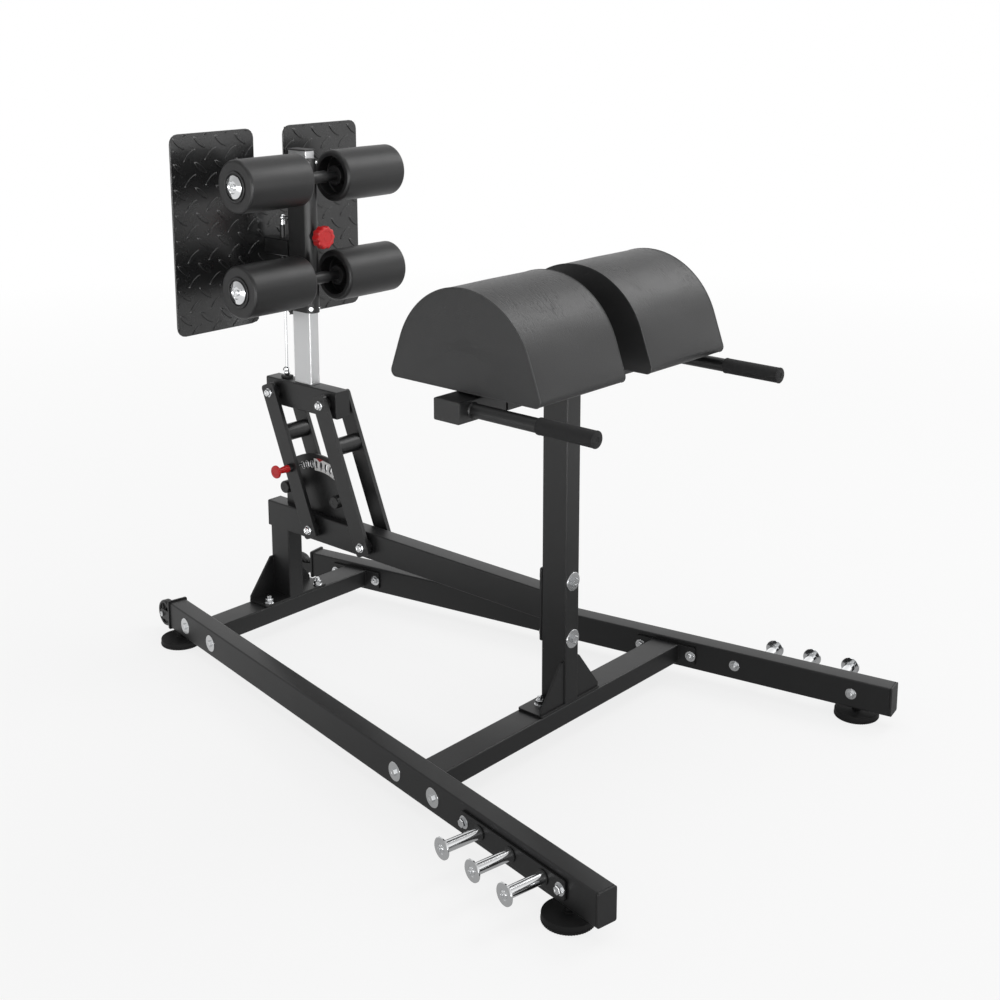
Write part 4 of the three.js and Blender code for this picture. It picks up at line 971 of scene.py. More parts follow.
@dataclass
class Base(Assembly):
    """The splayed rails with their caps, feet, wheels, pegs and bolts."""

    rail_half: float = 0.025
    foot_radius: float = 0.056
    foot_height: float = 0.018
    foot_out: float = 0.0126
    foot_front: float = 0.0977
    foot_rear: float = 1.7541
    foot_teeth: int = 60
    tooth: float = 0.0011
    stem_top: float = 0.0335
    peg_radius: float = 0.0125
    peg_length: float = 0.098
    peg_flange: float = 0.024
    peg_middle: float = 0.2585
    peg_step: float = 0.103
    peg_foot: float = 0.0316
    plate_thick: float = 0.006
    plate_bolts: Tuple[float, float] = (0.103, 0.414)
    wheel_back: float = 1.8585
    wheel_height: float = 0.0525
    wheel_radius: float = 0.037
    wheel_half: float = 0.011
    web: float = 0.004
    cross_places: Tuple[float, float] = (0.0, -1.002)
    flange_step: float = 0.0725
    plug_back: float = 0.043
    plug_radius: float = 0.0235
    plug_stand: float = 0.012

    def build(self) -> None:
        """Builds both sides."""
        small = Fastener(0.0100, 0.0080, 0.0142)
        nut = Fastener(0.0100, 0.0072, 0.0142, thread=0.0042)
        broad = Fastener(0.0090, 0.0050, 0.0225, 0.0022)
        for side in Side:
            self.rail(side)
            self.feet(side)
            self.wheel(side)
            self.pegs(side)
            self.bolts(side, small, nut, broad)
        for pattern in (small, nut, broad):
            pattern.done()

    def rail(self, side: Side) -> None:
        """The rail, its front cap, peg plate and, on the right side, the plug beside the cap.

        Args:
            side: which side.
        """
        word = side.word
        self.refine(f"rail_tube_{word}", f"rail_{word}", "base", POWDER)
        self.refine(f"rail_end_cap_{word}", f"rail_cap_{word}", "base", CAP_PLASTIC, CAP_EASE)
        self.refine(f"peg_backplate_{word}", f"peg_plate_{word}", "base", PLATE_COAT, CAP_EASE)
        if side is Side.RIGHT:
            r, h = self.plug_radius, self.plug_stand
            spot = rail_place(side, self.plug_back, -self.rail_half, RAIL_MIDDLE_Z)
            plug = Shop.turned(f"rail_plug_{word}", [
                (r, -0.001), (r, h * 0.42), (r - 0.0010, h * 0.50), (r * 0.86, h * 0.52),
                (r * 0.84, h * 0.90), (r * 0.80, h), (r * 0.30, h), (r * 0.26, h * 0.94),
                (r * 0.08, h * 0.94)], aimed(spot, -rail_out(side)))
            self.book(plug, "base", CAP_PLASTIC)

    def feet(self, side: Side) -> None:
        """The toothed rubber feet on their stems.

        Args:
            side: which side.
        """
        for end, back in (("front", self.foot_front), ("rear", self.foot_rear)):
            spot = rail_place(side, back, self.foot_out, 0.0)
            r, h = self.foot_radius, self.foot_height
            points = []
            for k in range(2 * self.foot_teeth):
                turn = math.pi * k / self.foot_teeth
                reach = r if k % 2 else r - self.tooth
                points.append((reach * math.cos(turn), reach * math.sin(turn)))
            place = Matrix.Translation(spot)
            tread = Shop.slab("tread", points, [(0.0, 0.965), (0.0016, 1.0), (0.0062, 1.0), (0.0070, 0.975)],
                              place, 0.0, 25.0)
            disc = Shop.turned("disc", [
                (r * 0.975, 0.0064), (r * 0.985, 0.0080), (r * 0.985, h - 0.0022), (r * 0.975, h - 0.0008),
                (r * 0.955, h), (r * 0.24, h)], place, 64)
            stem = Shop.turned("stem", [
                (0.0115, h - 0.0004), (0.0112, h + 0.0030), (0.0068, h + 0.0042), (0.0060, h + 0.0050),
                (0.0060, self.stem_top)], place, 32)
            self.book(Shop.joined(f"foot_pad_{end}_{side.word}", [tread, disc, stem]),
                      f"foot_{end}_{side.word}", RUBBER, f"foot_{end}_{side.word}")

    def wheel(self, side: Side) -> None:
        """The transport wheel with a ribbed hub, on its bolt.

        Args:
            side: which side.
        """
        spot = rail_place(side, self.wheel_back, 0.0, self.wheel_height)
        place = aimed(spot, rail_out(side))
        r, w = self.wheel_radius, self.wheel_half
        half = [(0.985 * r, 0.0), (r, w * 0.12), (r, w * 0.70), (0.94 * r, w), (0.79 * r, w),
                (0.76 * r, w - self.web), (0.34 * r, w - self.web), (0.30 * r, w)]
        tyre = Shop.turned("tyre", flipped(half[1:]) + half, place, 64)
        ribs = []
        for k in range(6):
            turn = Matrix.Rotation(math.pi * k / 3, 4, "Z")
            ribs.append(Shop.beam(f"rib_{k}", (r * 0.44, 0.003, 2 * w - 0.0006),
                                  place @ turn @ Matrix.Translation((r * 0.58, 0.0, 0.0)), 0.0008))
        self.book(Shop.joined(f"wheel_roller_{side.word}", [tyre, *ribs]), f"wheel_{side.word}", CAP_PLASTIC,
                  f"wheel_{side.word}")
        reach = w + 0.005 + SEAT_GAP
        head = rings([(0.0080, 0.0), (0.0080, 0.0042), (0.0070, 0.0050), (0.0044, 0.0050), (0.0038, 0.0038),
                      (0.0012, 0.0038)], reach)
        shank = Shop.turned("shank", [(0.0050, -reach), (0.0050, reach)], place, 24)
        near = Shop.hexed("near", head, place)
        far = Shop.hexed("far", head, place @ Matrix.Rotation(math.pi, 4, "X"))
        self.book(Shop.joined(f"wheel_bolt_{side.word}", [shank, near, far]), "base", ZINC,
                  f"wheel_axle_{side.word}")

    def pegs(self, side: Side) -> None:
        """The chrome band pegs with their flanges and button bolts.

        Args:
            side: which side.
        """
        r, f, n = self.peg_radius, self.peg_flange, self.peg_length
        for k in range(3):
            back = self.peg_middle + (k - 1) * self.peg_step
            place = aimed(rail_place(side, back, self.peg_foot, RAIL_MIDDLE_Z), rail_out(side))
            root = Shop.turned(f"peg_root_{side.word}_{k + 1}", [
                (r * 1.30, 0.0), (r * 1.30, 0.0018), (r * 1.20, 0.0026), (r * 0.9, 0.0026)], place)
            self.book(root, "base", POWDER)
            peg = Shop.turned("peg", [(r * 0.9, 0.0010), (r, 0.0022)] + rings([
                (r, -0.0060), (r * 1.05, -0.0048), (f - 0.0008, -0.0042), (f, -0.0034), (f, -0.0008),
                (f - 0.0008, 0.0), (0.0118, 0.0), (0.0108, -0.0014), (0.0100, -0.0014)], n), place, 64)
            bolt = Shop.turned("bolt", rings([
                (0.0092, -0.0016), (0.0090, 0.0006), (0.0078, 0.0022), (0.0058, 0.0029), (0.0046, 0.0030),
                (0.0044, 0.0006), (0.0010, 0.0006)], n), place, 36)
            self.book(Shop.joined(f"band_peg_bar_{side.word}_{k + 1}", [peg, bolt]), "base", CHROME,
                      f"band_peg_{side.word}_{k + 1}")

    def bolts(self, side: Side, small: Fastener, nut: Fastener, broad: Fastener) -> None:
        """The bolts of the peg plate and of the crossmembers' flanges.

        Args:
            side: which side.
            small: the bolt with a small washer.
            nut: the nut with its bolt's end.
            broad: the bolt with a wide washer.
        """
        out = rail_out(side)
        face = self.rail_half + self.plate_thick + SEAT_GAP
        for k, back in enumerate(self.plate_bolts):
            spot = rail_place(side, back, face, RAIL_MIDDLE_Z)
            self.book(small.set(f"peg_plate_bolt_{side.word}_{k + 1}", spot, out), "base", ZINC)
            inside = rail_place(side, back, -self.rail_half, RAIL_MIDDLE_Z)
            self.book(nut.set(f"peg_plate_nut_{side.word}_{k + 1}", inside, -out, 0.9), "base", ZINC)
        for word, x in zip(("front", "rear"), self.cross_places):
            middle = (RAIL_FRONT[0] - MAST_X - x) / math.cos(RAIL_SPLAY)
            middle += self.rail_half * math.tan(RAIL_SPLAY)
            for k, step in enumerate((-self.flange_step, self.flange_step)):
                spot = rail_place(side, middle + step, self.rail_half, RAIL_MIDDLE_Z)
                bolt = broad.set(f"{word}_flange_bolt_{side.word}_{k + 1}", spot, out, 0.5 + k)
                self.book(bolt, "base", ZINC)
                inside = rail_place(side, middle + step, -face, RAIL_MIDDLE_Z)
                self.book(nut.set(f"{word}_flange_nut_{side.word}_{k + 1}", inside, -out, 0.2), "base", ZINC)


@dataclass
class Frame(Assembly):
    """Crossmembers, mast, spine and the bolts that hold them together."""

    mast_foot_y: float = 0.066
    spine_foot_y: float = 0.090
    base_top: float = 0.102
    mast_foot_x: float = -0.008
    spine_foot_x: float = -0.978
    mast_half: float = 0.0375
    mast_wall: float = 0.025
    mast_corner: float = 0.004
    mast_top: float = 0.8785
    plate: float = 0.006
    plate_length: float = 0.225
    plate_corner: float = 0.005
    gusset_height: float = 0.107
    gusset_reach: float = 0.084
    gusset_flat: float = 0.009
    gusset_sunk: float = 0.003
    gusset_back: float = 0.004
    bolt_heights: Tuple[float, float] = (0.263, 0.409)
    flange_back: float = -0.0438

    def build(self) -> None:
        """Builds the frame."""
        for end in ("front", "rear"):
            self.refine(f"{end}_cross_tube", f"{end}_crossmember", "base", POWDER)
        self.refine("spine_tube", "main_spine", "base", POWDER)
        self.book(self.mast(), "base", POWDER, "front_mast")
        self.refine("spine_cap", "spine_end_cap", "base", CAP_PLASTIC, CAP_EASE)
        for word, x, y in (("mast", self.mast_foot_x, self.mast_foot_y),
                           ("spine", self.spine_foot_x, self.spine_foot_y)):
            for side in Side:
                spot = (MAST_X + x, side.value * y, self.base_top)
                self.book(self.foot_bolt(f"{word}_foot_bolt_{side.word}", spot), "base", ZINC)
        self.mast_bolts()

    def mast(self) -> Solid:
        """The mast's tube on its base plate, with two gussets a little behind its front face.

        Returns:
            The piece.
        """
        height = self.mast_top - self.base_top
        stand = Matrix.Translation((MAST_X, 0.0, self.base_top + height / 2))
        stand @= Matrix.Rotation(-math.pi / 2, 4, "Y")
        seat = Matrix.Translation((MAST_X, 0.0, self.base_top - self.plate))
        parts = [Shop.beam("tube", (height, 2 * self.mast_wall, 2 * self.mast_half), stand, self.mast_corner),
                 Shop.slab("plate", Shop.rounded(2 * self.mast_half, self.plate_length, self.plate_corner),
                           even(SEAT_GAP, self.plate), seat, EASE)]
        wall, flat, sunk = self.mast_wall, self.gusset_flat, self.gusset_sunk
        far = wall + self.gusset_reach
        outline = [(wall - sunk, -sunk), (far, -sunk), (far, flat), (wall + flat, self.gusset_height),
                   (wall - sunk, self.gusset_height)]
        front = MAST_X + self.mast_half - self.gusset_back
        for side in Side:
            start = front - self.plate if side is Side.LEFT else front
            sign = side.value
            place = Matrix(((0, 0, sign, start), (sign, 0, 0, 0), (0, 1, 0, self.base_top), (0, 0, 0, 1)))
            parts.append(Shop.slab("gusset", outline, even(0.0, self.plate), place, 0.0006))
        return Shop.joined("mast_tube", parts)

    @staticmethod
    def foot_bolt(name: str, spot: Point) -> Solid:
        """A nut on a washer with the bolt's thread standing out of it.

        Args:
            name: the piece's name.
            spot: where it stands.

        Returns:
            The bolt.
        """
        place = Matrix.Translation(spot) @ Matrix.Rotation(0.35, 4, "Z")
        washer = Shop.turned("washer", [
            (0.0130, -0.0006), (0.0130, 0.0016), (0.0124, 0.0022), (0.0080, 0.0022)], place, 36)
        nut = Shop.hexed("nut", [
            (0.0092, 0.0020), (0.0106, 0.0028), (0.0106, 0.0112), (0.0092, 0.0124), (0.0064, 0.0124)], place)
        thread = [(0.0058, 0.0118)]
        for k in range(7):
            thread += [(0.0058, 0.0128 + 0.0012 * k), (0.0050, 0.0134 + 0.0012 * k)]
        thread += [(0.0050, 0.0218), (0.0020, 0.0222)]
        return Shop.joined(name, [washer, nut, Shop.turned("thread", thread, place, 32)])

    def mast_bolts(self) -> None:
        """The two bolts through the mast and the spine's flange, with wide washers."""
        for word, z in zip(("lower", "upper"), self.bolt_heights):
            front = aimed((MAST_X + self.mast_half + SEAT_GAP, 0.0, z), FORWARD)
            rear = aimed((MAST_X + self.flange_back - SEAT_GAP, 0.0, z), (-1.0, 0.0, 0.0))
            parts = []
            for place in (front, rear):
                parts.append(Shop.turned("washer", [
                    (0.0230, 0.0), (0.0230, 0.0022), (0.0222, 0.0030), (0.0110, 0.0030)], place))
                parts.append(Shop.hexed("hex", [
                    (0.0110, 0.0029), (0.0110, 0.0095), (0.0098, 0.0110), (0.0068, 0.0110), (0.0058, 0.0098),
                    (0.0020, 0.0098)], place))
            length = self.mast_half + SEAT_GAP - self.flange_back
            parts.append(Shop.turned("shank", [(0.0060, 0.0), (0.0060, length)],
                                     aimed((MAST_X + self.flange_back, 0.0, z), FORWARD), 24))
            self.book(Shop.joined(f"mast_through_bolt_{word}", parts), "base", ZINC, f"mast_bolt_{word}")


# Linkage


@dataclass
class Linkage(Assembly):
    """The index quadrant with its stops and scale, the two links, the pivots and the pull pin."""

    rear_pivot: float = MAST_X - 0.852
    spacing: float = 0.207
    length: float = 0.3933
    lean: float = math.radians(22.26)
    bar_width: float = 0.050
    bar_thick: float = 0.012
    bar_inner: float = 0.037
    above: float = 0.025
    below: float = 0.024
    bar_corner: float = 0.010
    tie_radius: float = 0.024
    tie_reach: float = 0.274
    boss_radius: float = 0.021
    tube_half: float = 0.025
    plate_face: float = 0.003
    pin_reach: float = 0.178
    barrel_stand: float = 0.009
    barrel_sunk: float = 0.002
    slot_reach: float = 0.175
    slot_step: float = math.radians(6.2)
    slot_count: int = 8
    slot_size: Tuple[float, float] = (0.010, 0.020)
    slot_corner: float = 0.0045
    scale_inner: float = 0.158
    scale_outer: float = 0.1915
    number_reach: float = 0.1616
    number_size: float = 0.0065
    number_depth: float = 0.0002
    scale_from: float = 6.5
    scale_to: float = -26.0
    film: float = 0.0004
    rim_radius: float = 0.0009
    rim_out: float = 0.0004
    hole_out: float = 0.0012
    pointer_at: float = -0.7
    pointer_half: float = 4.0
    stop_reach: float = 0.142
    stop_angle: float = math.radians(45.0)
    stop_radius: float = 0.0175

    def build(self) -> None:
        """Builds the linkage."""
        self.quadrant()
        self.stops()
        self.link("rear", self.rear_pivot)
        self.link("front", self.rear_pivot + self.spacing)
        self.pin()
        self.pivots()

    def polar(self, reach: float, angle: float, y: float) -> Point:
        """A point about the rear lower pivot, at a reach, a lean back from upright and a place across."""
        return (self.rear_pivot - reach * math.sin(angle), y, SPINE_MIDDLE_Z + reach * math.cos(angle))

    def upright(self, pivot: float, y: float, reach: float) -> Matrix:
        """A place on a link, at a reach from its lower pivot's x, with +X up along it and +Y across."""
        origin = (pivot - reach * math.sin(self.lean), y, SPINE_MIDDLE_Z + reach * math.cos(self.lean))
        return Matrix.Translation(origin) @ Matrix.Rotation(-math.pi / 2 - self.lean, 4, "Y")

    def fan(self, reach: float, angles: Sequence[float]) -> List[Ring]:
        """Points about the rear lower pivot in X and Z, at leans back from upright given in degrees."""
        return arc((self.rear_pivot, SPINE_MIDDLE_Z), reach, [90.0 + angle for angle in angles])

    def printed(self, name: str, points: Sequence[Ring], film: float) -> Solid:
        """A film of a given thickness on the quadrant's near face."""
        return Shop.slab(name, points, even(self.plate_face, self.plate_face + film), XZ)

    def quadrant(self) -> None:
        """The quadrant, its scale strip, the slots' bare steel rims, which also serve as a painted glint
        along the slot edges, the numbers and the pointer.
        """
        self.refine("index_quadrant", "quadrant_plate", "base", PLATE_COAT, 0.0009)
        outline = self.fan(self.scale_outer, sweep(self.scale_from, self.scale_to, 28))
        outline += self.fan(self.scale_inner, sweep(self.scale_to, self.scale_from, 28))
        strip = self.printed("scale_strip", outline, self.film)
        rims, marked = [], []
        for k in range(self.slot_count):
            angle = self.lean - k * self.slot_step
            rim = [(x, -self.plate_face - 0.0001, z) for x, z in self.slot(angle, self.rim_out)]
            rims.append(Shop.wire(f"rim_{k}", rim, self.rim_radius, True))
            if self.scale_to < math.degrees(angle) < self.scale_from:
                Shop.holed(strip, Shop.slab("cutter", self.slot(angle, self.hole_out), even(-0.01, 0.01), XZ))
                marked.append((k + 1, angle))
        self.book(strip, "base", PRINTS[Sign.PAPER])
        # bright bare steel rims round the slots, partly a painted glint on their edges
        self.book(Shop.joined("slot_rims", rims), "base", BARE_STEEL_GLINT)
        for number, angle in marked:
            self.number(number, angle)
        tip, half = self.pointer_at, self.pointer_half
        shape = ((0.1850, tip), (0.1930, tip + half), (0.1940, tip), (0.1930, tip - half))
        points = [self.fan(reach, (angle,))[0] for reach, angle in shape]
        self.book(self.printed("scale_pointer", points, 2 * self.film), "base", PRINTS[Sign.POINTER])

    def number(self, number: int, angle: float) -> None:
        """A printed number beside its slot.

        Args:
            number: what it says.
            angle: the slot's lean back from upright.
        """
        Shop.clear()
        bpy.ops.object.text_add()
        letters = bpy.context.object.data
        letters.body = str(number)
        letters.size = self.number_size
        letters.align_x = "CENTER"
        letters.align_y = "CENTER"
        letters.extrude = self.number_depth
        bpy.ops.object.convert(target="MESH")
        spot = self.polar(self.number_reach, angle, -self.plate_face - 0.0005)
        place = Matrix.Translation(spot) @ Matrix.Rotation(-angle, 4, "Y") @ XZ
        piece = Shop.settle(bpy.context.object, f"scale_number_{number}", place, 20.0)
        self.book(piece, "base", PRINTS[Sign.INK])

    def slot(self, angle: float, grow: float) -> List[Ring]:
        """One index slot's outline, in the row frame's X and Z.

        Args:
            angle: the slot's lean back from upright.
            grow: how far the outline stands out.

        Returns:
            The outline's points.
        """
        x0, _, z0 = self.polar(self.slot_reach, angle, 0.0)
        wide, tall = self.slot_size
        points = []
        for across, up in Shop.rounded(wide + 2 * grow, tall + 2 * grow, self.slot_corner + grow):
            points.append((x0 + across * math.cos(angle) - up * math.sin(angle),
                           z0 + across * math.sin(angle) + up * math.cos(angle)))
        return points

    def stops(self) -> None:
        """The rubber stops with a lip at their face and a nut behind the quadrant."""
        r = self.stop_radius
        for word, angle in (("rear", self.stop_angle), ("front", -self.stop_angle)):
            spot = self.polar(self.stop_reach, angle, 0.0)
            place = aimed(spot, TO_NEAR_SIDE)
            bumper = Shop.turned("bumper", rings([
                (1.0, 0.0033), (1.0, 0.0405), (0.985, 0.0425), (0.93, 0.0444), (0.90, 0.0450), (0.84, 0.0442),
                (0.30, 0.0442), (0.26, 0.0436), (0.08, 0.0436)], 0.0, r), place)
            bolt = Shop.turned("bolt", [(0.0060, -0.0033), (0.0060, 0.0036)], place, 24)
            nut = Shop.hexed("nut", [(0.0090, -0.0093), (0.0090, -0.0033)], place)
            self.book(Shop.joined(f"stop_buffer_{word}", [bumper, bolt, nut]), "base", STOP_RUBBER,
                      f"stop_bumper_{word}")

    def link(self, word: str, pivot: float) -> None:
        """One link: two flat bars, the round tie between them and the bosses at the pivots.

        Args:
            word: rear or front.
            pivot: the lower pivot's x.
        """
        parts = []
        whole = self.length + self.above + self.below
        middle = (self.length + self.above - self.below) / 2
        for side in Side:
            y = side.value * (self.bar_inner + self.bar_thick / 2)
            flat = self.upright(pivot, y, middle) @ XZ
            parts.append(Shop.slab("bar", Shop.rounded(whole, self.bar_width, self.bar_corner),
                                   even(-self.bar_thick / 2, self.bar_thick / 2), flat, 0.0009, 50.0))
            for reach in (0.0, self.length):
                start = side.value * (self.tube_half + SEAT_GAP)
                place = aimed(self.upright(pivot, start, reach).translation, side.out)
                r, run = self.boss_radius, self.bar_inner - self.tube_half + 0.0030
                parts.append(Shop.turned("boss", [(r - 0.0012, 0.0), (r, 0.0012), (r, run)], place))
        tie_at = self.upright(pivot, -self.bar_inner - 0.002, self.tie_reach).translation
        t = self.tie_radius
        run = 2 * self.bar_inner + 0.004
        parts.append(Shop.turned("tie", [
            (t, 0.0), (t, 0.0035), (t * 0.985, 0.0050), (t * 0.985, run - 0.0050), (t, run - 0.0035),
            (t, run)], aimed(tie_at, ACROSS), 64))
        if word == "rear":
            outer = -self.bar_inner - self.bar_thick
            barrel_at = self.upright(pivot, outer, self.pin_reach).translation
            end = self.barrel_stand
            parts.append(Shop.turned("barrel", [
                (0.0120, -self.barrel_sunk), (0.0120, end - 0.0020), (0.0108, end), (0.0080, end)],
                aimed(barrel_at, TO_NEAR_SIDE), 36))
        self.book(Shop.joined(f"{word}_link_frame", parts), f"{word}_link", POWDER, f"{word}_link")

    def pin(self) -> None:
        """The pull pin's red knob: a flared neck and a mushroom head."""
        nose = self.plate_face + SEAT_GAP
        place = aimed(self.upright(self.rear_pivot, -nose, self.pin_reach).translation, TO_NEAR_SIDE)
        start = self.bar_inner + self.bar_thick + self.barrel_stand + SEAT_GAP - nose
        knob = Shop.turned("index_knob", rings([
            (0.0060, -0.0020), (0.0105, 0.0), (0.0104, 0.006), (0.0090, 0.016), (0.0080, 0.027),
            (0.0084, 0.033), (0.0120, 0.0365), (0.0165, 0.0378), (0.0180, 0.0395), (0.0180, 0.0430),
            (0.0172, 0.0450), (0.0150, 0.0458), (0.0100, 0.0462), (0.0094, 0.0452), (0.0030, 0.0450)], start),
            place, 48, 45.0)
        self.book(knob, "index_pin", RED_KNOB, "index_pin")
        shaft = Shop.turned("index_pin_shaft", [
            (0.0034, 0.0), (0.0045, 0.0014), (0.0045, start - 0.0010)], place, 32)
        self.book(shaft, "index_pin", ROD_CHROME)

    def pivots(self) -> None:
        """The four pivot bolts, each with a head and a nut."""
        reach = self.bar_inner + self.bar_thick + SEAT_GAP
        rise, shift = self.length * math.cos(self.lean), self.length * math.sin(self.lean)
        for word, body, x, z in (
                ("lower_rear", "base", self.rear_pivot, SPINE_MIDDLE_Z),
                ("lower_front", "base", self.rear_pivot + self.spacing, SPINE_MIDDLE_Z),
                ("upper_rear", "head", self.rear_pivot - shift, SPINE_MIDDLE_Z + rise),
                ("upper_front", "head", self.rear_pivot - shift + self.spacing, SPINE_MIDDLE_Z + rise)):
            parts = []
            for side in Side:
                place = aimed((x, side.value * reach, z), side.out, 0.25)
                parts.append(Shop.turned("washer", [
                    (0.0125, 0.0), (0.0125, 0.0014), (0.0119, 0.0020), (0.0095, 0.0020)], place, 36))
                parts.append(Shop.hexed("hex", [
                    (0.0105, 0.0019), (0.0105, 0.0076), (0.0094, 0.0090), (0.0064, 0.0090), (0.0054, 0.0080),
                    (0.0016, 0.0080)], place))
            parts.append(Shop.turned("shank", [(0.0060, -reach), (0.0060, reach)],
                                     aimed((x, 0.0, z), ACROSS), 24))
            self.book(Shop.joined(f"pivot_bolt_{word}_set", parts), body, ZINC, f"pivot_bolt_{word}")


# Head and carriage


@dataclass
class Head(Assembly):
    """The block, the satin post on it and the gas spring's rod."""

    ball_radius: float = 0.009
    ball_rise: float = 0.0075
    clip_radius: float = 0.011
    rod_radius: float = 0.004
    foot_size: Point = (0.026, 0.022, 0.008)

    def build(self) -> None:
        """Builds the head."""
        self.refine("head_block_tube", "head_block", "head", POWDER)
        self.refine("slide_post_tube", "slide_post", "head", SATIN_POST, 0.0006)
        self.refine("post_top_cap", "post_cap", "head", CAP_PLASTIC, CAP_EASE)
        low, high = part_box("gas_spring_rod")
        x = (low[0] + high[0]) / 2
        plate = Shop.beam("spring_foot", self.foot_size,
                          Matrix.Translation((x, 0.0, low[2] + self.foot_size[2] / 2)), 0.0012)
        self.book(plate, "head", POWDER)
        ball_z = low[2] + self.foot_size[2] + self.ball_rise
        b, r = self.ball_radius, self.rod_radius
        shape = arc((0.0, ball_z), b, (-78, -60, -40, -20, 0, 20, 40))
        shape += rings([(r * 1.5, b * 0.86), (r * 1.5, b * 1.5), (r, b * 1.7)], ball_z)
        shape.append((r, high[2]))
        rod = Shop.turned("spring_rod", shape, Matrix.Translation((x, 0.0, 0.0)), 36)
        self.book(rod, "head", ROD_CHROME, "gas_spring_rod")
        loop = arc((x, ball_z + 0.004), self.clip_radius, range(-60, 200, 20))
        clip = Shop.wire("spring_clip", [(px, -0.004, pz) for px, pz in loop], 0.0012)
        self.book(clip, "head", CAP_PLASTIC)


